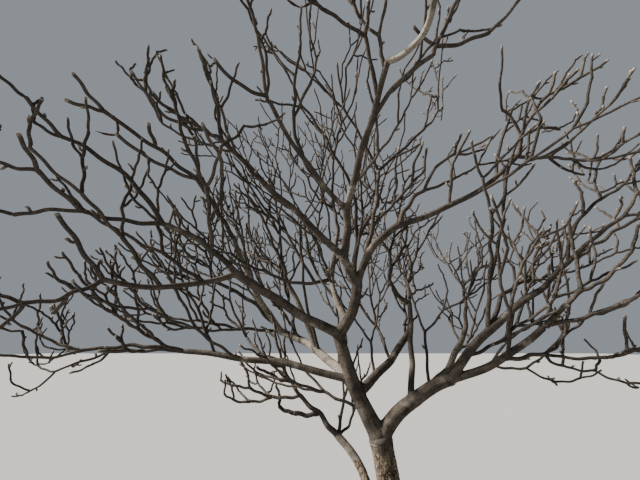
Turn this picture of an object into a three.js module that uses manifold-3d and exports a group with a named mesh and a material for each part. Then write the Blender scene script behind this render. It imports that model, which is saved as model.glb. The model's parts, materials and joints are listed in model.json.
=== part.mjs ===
// A frangipani tree, bare of leaves: a short leaning trunk with a slim second stem from the
// same root, a leader and a right-hand limb that fork into stout boughs, and at the ends of
// the boughs masses of blunt, forking twigs, a few of them with a pair of seed pods.
// Millimetres and degrees, +Z up, with the origin in the flat cut under the trunk. A heading
// turns from +X towards +Y, and a rise of 90 is straight up. A pair of sizes is the value at
// a limb's start and the value at its end, and girth is the diameter.

import * as THREE from 'three';
import { mergeVertices } from 'three/addons/utils/BufferGeometryUtils.js';
import Module from 'manifold-3d';

// Clearances between pieces, and between one twig and the next
const GAP = 0.4;
const TWIG_CLEARANCE = 5;

// A mass keeps to its own space: within its reach, nearer to its own heart than to another's,
// above the lowest twig, and out of the open side under the crown
const SPACE = { heart: 0.38, lift: 0.35, radius: 0.62, allowance: 130, lowest: 700 };
const OPEN_SIDE = { centre: new THREE.Vector3(-480, -2000, 1700), radius: 1080 };

// Limbs: rings along the path, the slight bow of each, and the shapes of foot, base and end
const SIDES = { trunk: 14, bough: 6, twig: 3, pod: 4 };
const PATH_STEPS = 12;
const STEPS_PER_RING = 4;
const BOW = 0.011;
const FLARE = { height: 120, lobes: 5, depth: 0.3 };
const COLLAR = { swell: 0.14, length: 0.9 };
const DOME = { rise: 0.5, width: 0.62 };

// Twigs: what each level adds at the end of the level before it, with lengths as a share of
// the mass's reach, how far each shoot leans off the twig that bears it, and how much it then
// turns upwards and outwards
const LEVELS = [
  { shoots: 2.3, length: 0.30, girth: 0.86 },
  { shoots: 1.8, length: 0.24, girth: 0.9 },
  { shoots: 1.4, length: 0.19, girth: 0.93 },
  { shoots: 1.0, length: 0.13, girth: 0.96 },
];
const LEAN = { first: [14, 30], other: [36, 58], turn: 24 };
const LENGTH_RANGE = [0.78, 1.22];
const UPTURN = [0.2, 0.65];
const OUTTURN = [0, 0.45];
const TWIG_STEPS = 4;
const BENDS = { placed: 3, shoot: 1 };
const TAPER = 0.94;
const LEAST_GIRTH = 18;
const THREE_SIDED = 1.2;
const TRIES = 4;

// Pods: a slim spindle, its foot sunk in the twig's end
const POD = { length: 170, girths: [8, 18, 15, 3], lean: 66, curl: 0.5, sunk: 9, room: 11 };

const MATERIALS = {
  trunk: { color: 0x8a7b68, roughness: 0.93, metalness: 0 },
  bough: { color: 0x8f8679, roughness: 0.85, metalness: 0 },
  twig: { color: 0x7d756b, roughness: 0.82, metalness: 0 },
};

const LIMBS = [
  {
    name: 'trunk', foot: [0, 0], heading: [135, 180], rise: [93, 81],
    length: 1120, girth: [196, 152], flare: 38, bark: 'trunk',
  },
  {
    name: 'leader', on: 'trunk', at: 1, heading: [174, 196], rise: [58, 78],
    length: 780, girth: [124, 94],
  },
  {
    name: 'right_limb', on: 'trunk', at: 1, heading: [336, 358], rise: [56, 16],
    length: 690, girth: [106, 84],
  },
  {
    name: 'left_front', on: 'leader', at: 1, heading: [212, 227], rise: [19, 23],
    length: 990, girth: [78, 54],
  },
  {
    name: 'left_arm', on: 'left_front', at: 1, heading: [221, 199], rise: [42, 14],
    length: 550, girth: [40, 32],
  },
  {
    name: 'left_reach', on: 'left_front', at: 1, heading: [187, 207], rise: [-25, 11],
    length: 750, girth: [38, 30],
  },
  {
    name: 'high_bough', on: 'leader', at: 1, heading: [339, 282], rise: [45, 72],
    length: 440, girth: [90, 78],
  },
  {
    name: 'mid_bough', on: 'high_bough', at: 1, heading: [220, 229], rise: [47, 55],
    length: 260, girth: [72, 68],
  },
  {
    name: 'centre_left', on: 'mid_bough', at: 1, heading: [194, 196], rise: [41, 43],
    length: 1430, girth: [60, 38],
  },
  {
    name: 'mast_foot', on: 'mid_bough', at: 1, heading: [308, 249], rise: [65, 69],
    length: 390, girth: [64, 60],
  },
  {
    name: 'mast', on: 'mast_foot', at: 1, heading: [294, 292], rise: [53, 49],
    length: 1080, girth: [58, 40],
  },
  {
    name: 'upper_left', on: 'mast_foot', at: 1, heading: [212, 234], rise: [30, 43],
    length: 970, girth: [42, 30],
  },
  {
    name: 'overhead', on: 'mast', at: 1, heading: [335, 257], rise: [-16, 10],
    length: 440, girth: [40, 38],
  },
  {
    name: 'mast_right', on: 'mast', at: 0.62, heading: [304, 331], rise: [43, 11],
    length: 570, girth: [34, 30],
  },
  {
    name: 'centre_right', on: 'high_bough', at: 1, heading: [305, 353], rise: [70, 27],
    length: 630, girth: [64, 56],
  },
  {
    name: 'right_arm', on: 'centre_right', at: 1, heading: [360, 344], rise: [14, 45],
    length: 1240, girth: [50, 36],
  },
  {
    name: 'back_high', on: 'high_bough', at: 0.9, heading: [101, 13], rise: [68, 55],
    length: 1000, girth: [52, 38],
  },
  {
    name: 'back_right', on: 'leader', at: 0.42, heading: [41, 31], rise: [21, 44],
    length: 890, girth: [76, 56],
  },
  {
    name: 'back_left', on: 'leader', at: 0.5, heading: [121, 148], rise: [31, 16],
    length: 1080, girth: [78, 68],
  },
  {
    name: 'back_left_arm', on: 'back_left', at: 1, heading: [226, 249], rise: [43, 51],
    length: 1130, girth: [64, 44],
  },
  {
    name: 'low_left', on: 'leader', at: 0.55, heading: [173, 172], rise: [13, 3],
    length: 1470, girth: [58, 42],
  },
  {
    name: 'right_upper', on: 'right_limb', at: 1, heading: [342, 355], rise: [52, 27],
    length: 1010, girth: [68, 44],
  },
  {
    name: 'right_lower', on: 'right_limb', at: 1, heading: [346, 328], rise: [14, 42],
    length: 740, girth: [58, 42],
  },
  {
    name: 'right_back', on: 'right_limb', at: 0.55, heading: [37, 34], rise: [11, 48],
    length: 1110, girth: [66, 46],
  },
  {
    name: 'right_tall', on: 'right_limb', at: 0.5, heading: [60, 60], rise: [52, 74],
    length: 860, girth: [48, 42],
  },
  {
    name: 'second_stem', foot: [-20, 130], heading: [78, 149], rise: [79, 33],
    length: 1190, girth: [88, 66], flare: 10, bark: 'trunk',
  },
  {
    name: 'back_middle', on: 'high_bough', at: 0.3, heading: [130, 40], rise: [49, 76],
    length: 1180, girth: [56, 40],
  },
  {
    name: 'middle_left', on: 'back_left', at: 0.5, heading: [179, 181], rise: [72, 58],
    length: 670, girth: [60, 46],
  },
];

const MASSES = [
  {
    name: 'twigs_left_arm', on: 'left_arm', at: 1, heading: [188, 197], rise: [-4, 14],
    length: 440, girth: [30, 26], reach: 950, seed: 105,
    leads: [
      { heading: [220, 232], rise: [30, 39], length: 290, girth: [26, 24] },
      { heading: [198, 194], rise: [-3, -22], length: 310, girth: [24, 22] },
    ],
  },
  {
    name: 'twigs_left_reach', on: 'left_reach', at: 1, heading: [175, 189], rise: [-36, -3],
    length: 410, girth: [27, 24], reach: 900, seed: 279,
  },
  {
    name: 'twigs_left_arm_up', on: 'left_arm', at: 1, heading: [199, 182], rise: [55, 21],
    length: 940, girth: [32, 25], reach: 700, seed: 206,
    leads: [
      { heading: [226, 241], rise: [32, 40], length: 260, girth: [24, 22] },
      { heading: [204, 223], rise: [4, 31], length: 160, girth: [22, 20] },
    ],
  },
  {
    name: 'twigs_upper_left', on: 'upper_left', at: 0.97, heading: [227, 228], rise: [44, 45],
    length: 70, girth: [29, 27], reach: 900, seed: 206, podPairs: 2,
    leads: [
      { heading: [201, 234], rise: [-11, 26], length: 380, girth: [26, 23] },
      { heading: [257, 252], rise: [62, 61], length: 400, girth: [26, 24] },
      { heading: [302, 201], rise: [80, 66], length: 430, girth: [23, 21] },
    ],
  },
  {
    name: 'twigs_mast_up', on: 'mast', at: 0.95, heading: [240, 249], rise: [60, 64],
    length: 240, girth: [30, 26], reach: 850, seed: 197,
  },
  {
    name: 'twigs_mast_left', on: 'mast', at: 0.78, heading: [243, 243], rise: [60, 60],
    length: 430, girth: [33, 28], reach: 800, seed: 186,
    leads: [
      { heading: [207, 206], rise: [7, 2], length: 330, girth: [26, 24] },
      { heading: [280, 281], rise: [61, 61], length: 240, girth: [27, 25] },
    ],
  },
  {
    name: 'twigs_mast_right', on: 'mast_right', at: 1, heading: [305, 305], rise: [54, 54],
    length: 60, girth: [29, 27], reach: 900, seed: 28,
    leads: [
      { heading: [325, 326], rise: [60, 59], length: 190, girth: [27, 25] },
      { heading: [349, 336], rise: [-16, 9], length: 310, girth: [26, 23] },
      { heading: [180, 190], rise: [42, 69], length: 230, girth: [22, 20] },
    ],
  },
  {
    name: 'twigs_overhead', on: 'overhead', at: 1, heading: [262, 250], rise: [45, 62],
    length: 360, girth: [34, 27], reach: 1000, seed: 239,
  },
  {
    name: 'twigs_centre_left', on: 'centre_left', at: 1, heading: [265, 243], rise: [61, 57],
    length: 510, girth: [32, 26], reach: 700, seed: 116,
  },
  {
    name: 'twigs_centre_left_side', on: 'centre_left', at: 0.97, heading: [187, 188], rise: [33, 36],
    length: 210, girth: [34, 31], reach: 900, seed: 48,
    leads: [
      { heading: [197, 211], rise: [15, 35], length: 500, girth: [29, 26] },
      { heading: [188, 226], rise: [-8, 51], length: 550, girth: [28, 25] },
      { heading: [182, 211], rise: [29, 70], length: 460, girth: [25, 23] },
    ],
  },
  {
    name: 'twigs_upper_left_up', on: 'upper_left', at: 0.3, heading: [186, 252], rise: [43, 80],
    length: 600, girth: [34, 28], reach: 1000, seed: 19, podPairs: 1,
    leads: [
      { heading: [276, 275], rise: [64, 64], length: 320, girth: [26, 24] },
      { heading: [312, 317], rise: [49, 44], length: 290, girth: [24, 22] },
    ],
  },
  {
    name: 'twigs_right_arm', on: 'right_arm', at: 1, heading: [261, 262], rise: [56, 56],
    length: 130, girth: [34, 30], reach: 900, seed: 74,
    leads: [
      { heading: [296, 329], rise: [58, 36], length: 380, girth: [29, 26] },
      { heading: [234, 192], rise: [66, 23], length: 290, girth: [24, 22] },
      { heading: [341, 361], rise: [34, -10], length: 300, girth: [25, 23] },
    ],
  },
  {
    name: 'twigs_right_arm_side', on: 'right_arm', at: 0.97, heading: [355, 350], rise: [-13, -2],
    length: 240, girth: [30, 25], reach: 850, seed: 62,
    leads: [
      { heading: [346, 345], rise: [-19, -19], length: 150, girth: [25, 23] },
      { heading: [324, 322], rise: [25, 27], length: 150, girth: [23, 22] },
    ],
  },
  {
    name: 'twigs_right_lower', on: 'right_lower', at: 1, heading: [350, 350], rise: [33, 31],
    length: 40, girth: [40, 36], reach: 950, seed: 175,
    leads: [
      { heading: [327, 333], rise: [46, 39], length: 330, girth: [36, 29] },
      { heading: [342, 335], rise: [8, 24], length: 450, girth: [30, 25] },
    ],
  },
  {
    name: 'twigs_right_upper', on: 'right_upper', at: 1, heading: [352, 354], rise: [42, 37],
    length: 340, girth: [42, 34], reach: 950, seed: 112, podPairs: 1,
    leads: [
      { heading: [321, 330], rise: [42, 31], length: 500, girth: [32, 26] },
      { heading: [356, 358], rise: [31, 26], length: 750, girth: [30, 25] },
      { heading: [301, 358], rise: [80, 28], length: 630, girth: [28, 24] },
    ],
  },
  {
    name: 'twigs_low_left_up', on: 'low_left', at: 1, heading: [201, 217], rise: [14, 36],
    length: 420, girth: [32, 26], reach: 900, seed: 162,
  },
  {
    name: 'twigs_low_left', on: 'low_left', at: 1, heading: [184, 177], rise: [9, -8],
    length: 900, girth: [36, 28], reach: 1100, seed: 27,
  },
  {
    name: 'twigs_right_upper_up', on: 'right_upper', at: 0.45, heading: [354, 352], rise: [75, 78],
    length: 370, girth: [38, 30], reach: 1100, seed: 213,
    leads: [
      { heading: [281, 263], rise: [66, 66], length: 560, girth: [29, 25] },
      { heading: [324, 297], rise: [65, 73], length: 810, girth: [27, 24] },
    ],
  },
  {
    name: 'twigs_right_lower_side', on: 'right_lower', at: 0.4, heading: [-1, 5], rise: [19, 1],
    length: 440, girth: [34, 27], reach: 1000, seed: 237,
  },
  {
    name: 'twigs_centre_right_up', on: 'centre_right', at: 1, heading: [2, 7], rise: [75, 30],
    length: 440, girth: [40, 32], reach: 1050, seed: 226, podPairs: 1,
    leads: [
      { heading: [328, 358], rise: [70, 25], length: 460, girth: [28, 25] },
      { heading: [11, 5], rise: [19, 34], length: 360, girth: [27, 25] },
    ],
  },
  {
    name: 'twigs_back_left_side', on: 'back_left', at: 1, heading: [189, 178], rise: [49, 21],
    length: 920, girth: [50, 36], reach: 1250, seed: 60,
  },
  {
    name: 'twigs_back_left_arm', on: 'back_left_arm', at: 1, heading: [243, 247], rise: [38, 32],
    length: 630, girth: [44, 36], reach: 1000, seed: 123, podPairs: 2,
    leads: [
      { heading: [223, 233], rise: [22, 11], length: 730, girth: [34, 28] },
      { heading: [210, 241], rise: [-1, 19], length: 610, girth: [30, 26] },
      { heading: [287, 235], rise: [70, 63], length: 370, girth: [30, 26] },
    ],
  },
  {
    name: 'twigs_right_tall', on: 'right_tall', at: 1, heading: [154, 332], rise: [32, 89],
    length: 580, girth: [40, 30], reach: 1150, seed: 229,
  },
  {
    name: 'twigs_back_high', on: 'back_high', at: 1, heading: [40, 60], rise: [50, 62],
    length: 400, girth: [36, 28], reach: 1250, seed: 53,
  },
  {
    name: 'twigs_back_high_side', on: 'back_high', at: 0.55, heading: [283, 191], rise: [85, 51],
    length: 960, girth: [36, 28], reach: 1100, seed: 245, podPairs: 1,
    leads: [
      { heading: [236, 213], rise: [48, 27], length: 540, girth: [26, 23] },
      { heading: [299, 294], rise: [55, 57], length: 320, girth: [24, 22] },
    ],
  },
  {
    name: 'twigs_right_far', on: 'right_upper', at: 0.5, heading: [32, 17], rise: [55, 12],
    length: 790, girth: [38, 28], reach: 1150, seed: 162,
  },
  {
    name: 'twigs_back_right', on: 'back_right', at: 1, heading: [62, 72], rise: [45, 62],
    length: 700, girth: [44, 32], reach: 1250, seed: 112,
  },
  {
    name: 'twigs_right_back', on: 'right_back', at: 1, heading: [50, 60], rise: [42, 58],
    length: 650, girth: [40, 30], reach: 1250, seed: 101,
  },
  {
    name: 'twigs_back_left_back', on: 'back_left', at: 0.8, heading: [105, 115], rise: [40, 60],
    length: 850, girth: [44, 34], reach: 1250, seed: 112,
  },
  {
    name: 'twigs_second_left', on: 'second_stem', at: 1, heading: [175, 176], rise: [44, 39],
    length: 490, girth: [56, 38], reach: 1000, seed: 146,
  },
  {
    name: 'twigs_back_middle', on: 'back_middle', at: 1, heading: [179, 180], rise: [85, 77],
    length: 290, girth: [36, 30], reach: 950, seed: 12, leads: [
      { heading: [252, 298], rise: [68, 67], length: 750, girth: [30, 25] },
      { heading: [174, 210], rise: [23, 78], length: 520, girth: [28, 24] },
    ],
  },
  {
    name: 'twigs_middle_left', on: 'middle_left', at: 1, heading: [209, 205], rise: [72, 64],
    length: 270, girth: [40, 32], reach: 950, seed: 51, leads: [
      { heading: [194, 197], rise: [63, 67], length: 440, girth: [30, 25] },
      { heading: [211, 203], rise: [87, 76], length: 660, girth: [28, 24] },
    ],
  },
];

const UP = new THREE.Vector3(0, 0, 1);
const radians = THREE.MathUtils.degToRad;
const mix = THREE.MathUtils.lerp;

// Repeatable random numbers from 0 to 1: one key always gives the same row of them.
function draws(key) {
  let state = key >>> 0;
  return () => {
    state = (state + 0x6d2b79f5) >>> 0;
    let bits = Math.imul(state ^ (state >>> 15), state | 1);
    bits ^= bits + Math.imul(bits ^ (bits >>> 7), bits | 61);
    return ((bits ^ (bits >>> 14)) >>> 0) / 4294967296;
  };
}

function towards(heading, rise) {
  const level = Math.cos(radians(rise));
  return new THREE.Vector3(
    level * Math.cos(radians(heading)),
    level * Math.sin(radians(heading)),
    Math.sin(radians(rise)),
  );
}

// A limb's centre line: its heading and rise turn evenly, and it bows a little to one side
// and back, more in a longer limb.
function limbPath(start, limb, key) {
  const points = [start.clone()];
  for (let i = 0; i < PATH_STEPS; i++) {
    const share = (i + 0.5) / PATH_STEPS;
    const step = towards(mix(...limb.heading, share), mix(...limb.rise, share));
    points.push(points[i].clone().addScaledVector(step, limb.length / PATH_STEPS));
  }
  const draw = draws(key);
  const phase = draw() * 2 * Math.PI;
  const side = points[PATH_STEPS].clone().sub(start).cross(UP).normalize();
  const waves = 1.2 + draw();
  return points.map((point, i) => {
    const share = i / PATH_STEPS;
    const bow = BOW * limb.length * Math.sin(Math.PI * share) ** 2;
    const angle = phase + waves * 2 * Math.PI * share;
    return point.addScaledVector(side, bow * Math.sin(angle)).addScaledVector(UP, bow * Math.cos(angle));
  });
}

// A level direction at right angles to the given one.
function sideOf(direction) {
  const side = Math.abs(direction.z) > 0.95 ? new THREE.Vector3(1, 0, 0) : UP.clone();
  return side.cross(direction).normalize();
}

function pointAt(points, share) {
  const place = share * (points.length - 1);
  const index = Math.min(Math.floor(place), points.length - 2);
  return points[index].clone().lerp(points[index + 1], place - index);
}

// The direction of the path at each of its points.
function directions(points) {
  return points.map((point, i) => {
    const before = points[Math.max(i - 1, 0)];
    const after = points[Math.min(i + 1, points.length - 1)];
    return after.clone().sub(before).normalize();
  });
}

// A closed tube: a lathed stack of rings, each ring then carried to its place on the path.
function tube(points, radii, sides, { flatFoot = false, ringShape = () => 1 } = {}) {
  const last = points.length - 1;
  const profile = radii.map((radius, i) => new THREE.Vector2(radius, i));
  profile.unshift(new THREE.Vector2(0, 0));
  profile.push(new THREE.Vector2(0, last));
  const geometry = new THREE.LatheGeometry(profile, sides);
  const along = directions(points);
  if (flatFoot) along[0].copy(UP);
  const across = [];
  let side = new THREE.Vector3(1, 0, 0);
  if (Math.abs(along[0].x) > 0.8) side.set(0, 1, 0);
  for (const direction of along) {
    side = side.clone().addScaledVector(direction, -side.dot(direction)).normalize();
    across.push([side, side.clone().cross(direction)]);
  }
  const vertices = geometry.getAttribute('position');
  for (let i = 0; i < vertices.count; i++) {
    const ring = Math.round(vertices.getY(i));
    const turn = Math.atan2(vertices.getX(i), vertices.getZ(i));
    const radius = Math.hypot(vertices.getX(i), vertices.getZ(i)) * ringShape(turn, ring);
    const place = points[ring].clone()
      .addScaledVector(across[ring][0], radius * Math.sin(turn))
      .addScaledVector(across[ring][1], radius * Math.cos(turn));
    vertices.setXYZ(i, place.x, place.y, place.z);
  }
  return solidOf(geometry);
}

const wasm = await Module();
wasm.setup();

function solidOf(geometry) {
  geometry.deleteAttribute('normal');
  geometry.deleteAttribute('uv');
  const merged = mergeVertices(geometry, 1e-3);
  const mesh = new wasm.Mesh({
    numProp: 3,
    vertProperties: merged.getAttribute('position').array,
    triVerts: new Uint32Array(merged.index.array),
  });
  return new wasm.Manifold(mesh);
}

function largestBody(solid) {
  return solid.decompose().reduce((a, b) => (a.volume() > b.volume() ? a : b));
}

function geometryOf(solid) {
  const mesh = solid.getMesh();
  const geometry = new THREE.BufferGeometry();
  geometry.setAttribute('position', new THREE.BufferAttribute(mesh.vertProperties, 3));
  geometry.setIndex(new THREE.BufferAttribute(mesh.triVerts, 1));
  geometry.computeVertexNormals();
  return geometry;
}

// A limb's radius at a share of its length, with the collar at its base.
function limbRadius(limb, share) {
  const collar = COLLAR.swell * Math.exp(-share * limb.length / (COLLAR.length * limb.girth[0]));
  return mix(...limb.girth, share) / 2 * (limb.foot ? 1 : 1 + collar);
}

function flareAt(limb, height) {
  return (limb.flare ?? 0) * Math.exp(-height / FLARE.height);
}

// A path's start, moved back by a margin.
function backedOff([start, next], margin) {
  return start.clone().addScaledVector(next.clone().sub(start).normalize(), -margin);
}

// The limb as a solid, or with a little added all over as the shape that cuts its neighbours.
function limbSolid(limb, margin) {
  const points = limb.path.filter((point, i) => i % STEPS_PER_RING === 0);
  const last = points.length - 1;
  const radii = points.map((point, i) => limbRadius(limb, i / last) + margin);
  if (limb.foot) {
    points.splice(1, 0, limb.path[1].clone().lerp(limb.path[0], 0.3));
    radii.splice(1, 0, radii[0]);
    radii.forEach((radius, i) => {
      radii[i] = radius + flareAt(limb, points[i].z);
    });
  } else {
    points[0] = backedOff(points, margin);
  }
  const end = points.at(-1);
  const direction = end.clone().sub(points.at(-2)).normalize();
  points.push(end.clone().addScaledVector(direction, DOME.rise * radii.at(-1) + margin));
  radii.push(radii.at(-1) * DOME.width);
  const lobes = (turn, ring) => {
    const flare = flareAt(limb, points[ring].z);
    return 1 + FLARE.depth * flare / radii[ring] * Math.sin(FLARE.lobes * turn);
  };
  const sides = limb.bark === 'trunk' ? SIDES.trunk : SIDES.bough;
  return tube(points, radii, sides, { flatFoot: Boolean(limb.foot), ringShape: lobes });
}

// The shortest distance between two straight stretches.
function stretchDistance(a, b, c, d) {
  const ab = b.clone().sub(a);
  const cd = d.clone().sub(c);
  const ca = a.clone().sub(c);
  const aa = ab.lengthSq();
  const cc = cd.lengthSq();
  const ac = ab.dot(cd);
  const af = ab.dot(ca);
  const cf = cd.dot(ca);
  const spread = aa * cc - ac * ac;
  let s = spread > 1e-9 ? THREE.MathUtils.clamp((ac * cf - af * cc) / spread, 0, 1) : 0;
  let t = (ac * s + cf) / cc;
  if (t < 0) {
    t = 0;
    s = THREE.MathUtils.clamp(-af / aa, 0, 1);
  } else if (t > 1) {
    t = 1;
    s = THREE.MathUtils.clamp((ac - af) / aa, 0, 1);
  }
  return a.clone().addScaledVector(ab, s).distanceTo(c.clone().addScaledVector(cd, t));
}

// The straight stretches of a path, each with the radius that it needs to itself.
function stretchesOf(path, radiusAt) {
  return path.slice(1).map((point, i) => ({
    from: path[i],
    to: point,
    middle: path[i].clone().lerp(point, 0.5),
    half: path[i].distanceTo(point) / 2,
    radius: radiusAt((i + 0.5) / (path.length - 1)),
  }));
}

function tooClose(a, b) {
  const room = a.radius + b.radius + TWIG_CLEARANCE;
  if (a.middle.distanceTo(b.middle) > a.half + b.half + room) return false;
  return stretchDistance(a.from, a.to, b.from, b.to) < room;
}

function inSpace(point, mass) {
  const own = point.distanceTo(mass.heart);
  return own < SPACE.radius * mass.reach
    && point.z > SPACE.lowest
    && point.distanceTo(OPEN_SIDE.centre) > OPEN_SIDE.radius
    && MASSES.every((other) => own < point.distanceTo(other.heart) + SPACE.allowance);
}

// Twigs of one fork are compared only beyond their first stretch, where they have parted.
function isFree(twig) {
  const meets = (other, first) => (
    other.stretches.slice(first).some((a) => twig.stretches.slice(first).some((b) => tooClose(a, b)))
  );
  if (!twig.path.slice(1).every((point) => inSpace(point, twig.mass))) return false;
  if (LIMBS.some((limb) => meets(limb, 0))) return false;
  return MASSES.every((mass) => mass.twigs.every((other) => (
    other === twig.parent || !meets(other, other.parent === twig.parent ? 1 : 0)
  )));
}

// A twig whose course is given: the stem of a mass, or a main twig at the stem's end.
function placedTwig(mass, parent, start, course, id, index) {
  const path = limbPath(start, course, 100 * MASSES.indexOf(mass) + id);
  const direction = path.at(-1).clone().sub(path.at(-2)).normalize();
  const { girth } = course;
  const stretches = stretchesOf(path, (share) => mix(...girth, share) / 2 * THREE_SIDED);
  const turn = draws(mass.seed * 100003 + id)() * 2 * Math.PI;
  return { id, mass, parent, index, path, girth, bends: BENDS.placed, stretches, direction, turn };
}

function startMass(mass) {
  const bearer = LIMBS.find((other) => other.name === mass.on);
  const stem = placedTwig(mass, null, pointAt(bearer.path, mass.at), mass, 1, 1);
  const leads = (mass.leads ?? []).map((lead, index) => (
    placedTwig(mass, stem, stem.path.at(-1), lead, 4 + index, index)
  ));
  stem.firstShoot = leads[0];
  mass.twigs = [stem, ...leads];
  const bearers = leads.length ? leads : [stem];
  const hearts = bearers.map((twig) => {
    const lifted = twig.direction.clone().addScaledVector(UP, SPACE.lift).normalize();
    return twig.path.at(-1).clone().addScaledVector(lifted, SPACE.heart * mass.reach);
  });
  mass.heart = hearts.reduce((sum, heart) => sum.add(heart)).divideScalar(hearts.length);
}

// One shoot at the end of a twig: it leans off to its own side and then turns upwards.
function shoot(parent, level, index, count, attempt) {
  const { mass } = parent;
  const id = parent.id * 4 + index;
  const draw = draws(mass.seed * 100003 + id * 31 + attempt * 7919);
  const lean = radians(mix(...(index === 0 ? LEAN.first : LEAN.other), draw()));
  const turn = parent.turn + 2 * Math.PI * index / count + radians(LEAN.turn) * (2 * draw() - 1);
  const along = parent.direction;
  const side = sideOf(along);
  const out = side.clone().multiplyScalar(Math.cos(turn))
    .addScaledVector(along.clone().cross(side), Math.sin(turn));
  const first = along.clone().multiplyScalar(Math.cos(lean)).addScaledVector(out, Math.sin(lean));
  const start = parent.path.at(-1);
  const outward = new THREE.Vector3(start.x, start.y, 0).normalize();
  const last = first.clone().addScaledVector(UP, mix(...UPTURN, draw()))
    .addScaledVector(outward, mix(...OUTTURN, draw())).normalize();
  const length = LEVELS[level].length * mass.reach * mix(...LENGTH_RANGE, draw());
  const path = [start.clone()];
  for (let i = 0; i < TWIG_STEPS; i++) {
    const step = first.clone().lerp(last, (i + 0.5) / TWIG_STEPS).normalize();
    path.push(path[i].clone().addScaledVector(step, length / TWIG_STEPS));
  }
  const thick = Math.max(parent.girth[1] * LEVELS[level].girth, LEAST_GIRTH);
  const girth = [thick, Math.max(thick * TAPER, LEAST_GIRTH)];
  const stretches = stretchesOf(path, (share) => mix(...girth, share) / 2 * THREE_SIDED);
  const ownTurn = draw() * 2 * Math.PI;
  return { id, mass, parent, index, path, girth, bends: BENDS.shoot, stretches, direction: last, turn: ownTurn };
}

// Every twig of the level before bears its shoots, and one with no free place is skipped.
function growMass(mass) {
  const placed = mass.twigs.slice(1);
  let bearers = placed.length ? placed : mass.twigs.slice(0, 1);
  const levels = placed.length ? [1, 2, 3] : [0, 1, 2, 3];
  for (const level of levels) {
    const grown = [];
    for (const parent of bearers) {
      const chance = draws(mass.seed * 100003 + parent.id * 31 + 17)();
      const count = Math.floor(LEVELS[level].shoots + chance);
      for (let index = 0; index < count; index++) {
        for (let attempt = 0; attempt < TRIES; attempt++) {
          const twig = shoot(parent, level, index, count, attempt);
          if (!isFree(twig)) continue;
          mass.twigs.push(twig);
          grown.push(twig);
          if (index === 0) parent.firstShoot = twig;
          break;
        }
      }
    }
    bearers = grown;
  }
}

// A pair of seed pods at the end of a twig, each leaning off to its own side.
function podPair(twig) {
  const lean = radians(POD.lean);
  const steps = POD.girths.length - 1;
  const side = sideOf(twig.direction);
  return [side, side.clone().negate()].map((away) => {
    const first = twig.direction.clone().multiplyScalar(Math.cos(lean)).addScaledVector(away, Math.sin(lean));
    const path = [twig.path.at(-1).clone().addScaledVector(twig.direction, -POD.sunk)];
    for (let i = 0; i < steps; i++) {
      const step = first.clone().lerp(twig.direction, POD.curl * i / steps).normalize();
      path.push(path[i].clone().addScaledVector(step, POD.length / steps));
    }
    return { mass: twig.mass, parent: twig, path, stretches: stretchesOf(path, () => POD.room) };
  });
}

// The twigs that bear none of their own carry the pods.
function bearPods(mass) {
  const ends = mass.twigs.filter((twig) => mass.twigs.every((other) => other.parent !== twig));
  const free = ends.map(podPair).filter((pair) => pair.every(isFree));
  mass.pods = free.slice(0, mass.podPairs ?? 0).flat();
}

// A run of twigs as one tube: the twig and, end to end, the first shoot of each.
function runSolid(head, margin) {
  const points = [head.path[0]];
  const radii = [head.girth[0] / 2 * THREE_SIDED + margin];
  let twig = head;
  while (twig) {
    const steps = twig.path.length - 1;
    for (let i = steps / twig.bends; i <= steps; i += steps / twig.bends) {
      points.push(twig.path[i]);
      radii.push(mix(...twig.girth, i / steps) / 2 * THREE_SIDED + margin);
    }
    twig = twig.firstShoot;
  }
  points[0] = backedOff(points, margin);
  return tube(points, radii, SIDES.twig);
}

// Limbs grow from the trunk outwards, then the stems of the masses, then their twigs by level.
LIMBS.forEach((limb, i) => {
  const parent = LIMBS.find((other) => other.name === limb.on);
  const start = parent ? pointAt(parent.path, limb.at) : new THREE.Vector3(...limb.foot, 0);
  limb.path = limbPath(start, limb, i + 1);
  limb.stretches = stretchesOf(limb.path, (share) => limbRadius(limb, share));
});
MASSES.forEach(startMass);
MASSES.forEach(growMass);
MASSES.forEach(bearPods);

const tree = new THREE.Group();
const cutters = [];

function cutByNeighbours(solid) {
  let body = solid;
  for (const cutter of cutters) {
    if (!body.intersect(cutter).isEmpty()) body = body.subtract(cutter);
  }
  return largestBody(body);
}

function addPiece(name, solid, finish) {
  const piece = new THREE.Mesh(geometryOf(solid), new THREE.MeshStandardMaterial(MATERIALS[finish]));
  piece.name = name;
  tree.add(piece);
}

for (const limb of LIMBS) {
  addPiece(limb.name, cutByNeighbours(limbSolid(limb, 0)), limb.bark ?? 'bough');
  cutters.push(limbSolid(limb, GAP));
}
for (const mass of MASSES) {
  const heads = mass.twigs.filter((twig) => twig.index !== 0);
  const runs = heads.map((twig) => runSolid(twig, 0));
  const pods = mass.pods.map((pod) => tube(pod.path, POD.girths.map((girth) => girth / 2), SIDES.pod));
  const joined = wasm.Manifold.union([...runs, ...pods]);
  addPiece(mass.name, cutByNeighbours(joined), 'twig');
  cutters.push(runSolid({ ...mass.twigs[0], firstShoot: undefined }, GAP));
}

export default tree;
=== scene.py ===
"""Dresses the bare frangipani tree: bark with relief on trunk and boughs, the full crown of
twigs grown by the same rule as the solids, seed pods, and a plain studio round it.

The tables and the rule of growth are in millimetres and degrees, as in the solids, and the
meshes are in metres. A heading turns from +X towards +Y, and a rise of 90 is straight up.
"""

import functools
import itertools
import json
import math
from collections import namedtuple
from types import SimpleNamespace as Group

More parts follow.
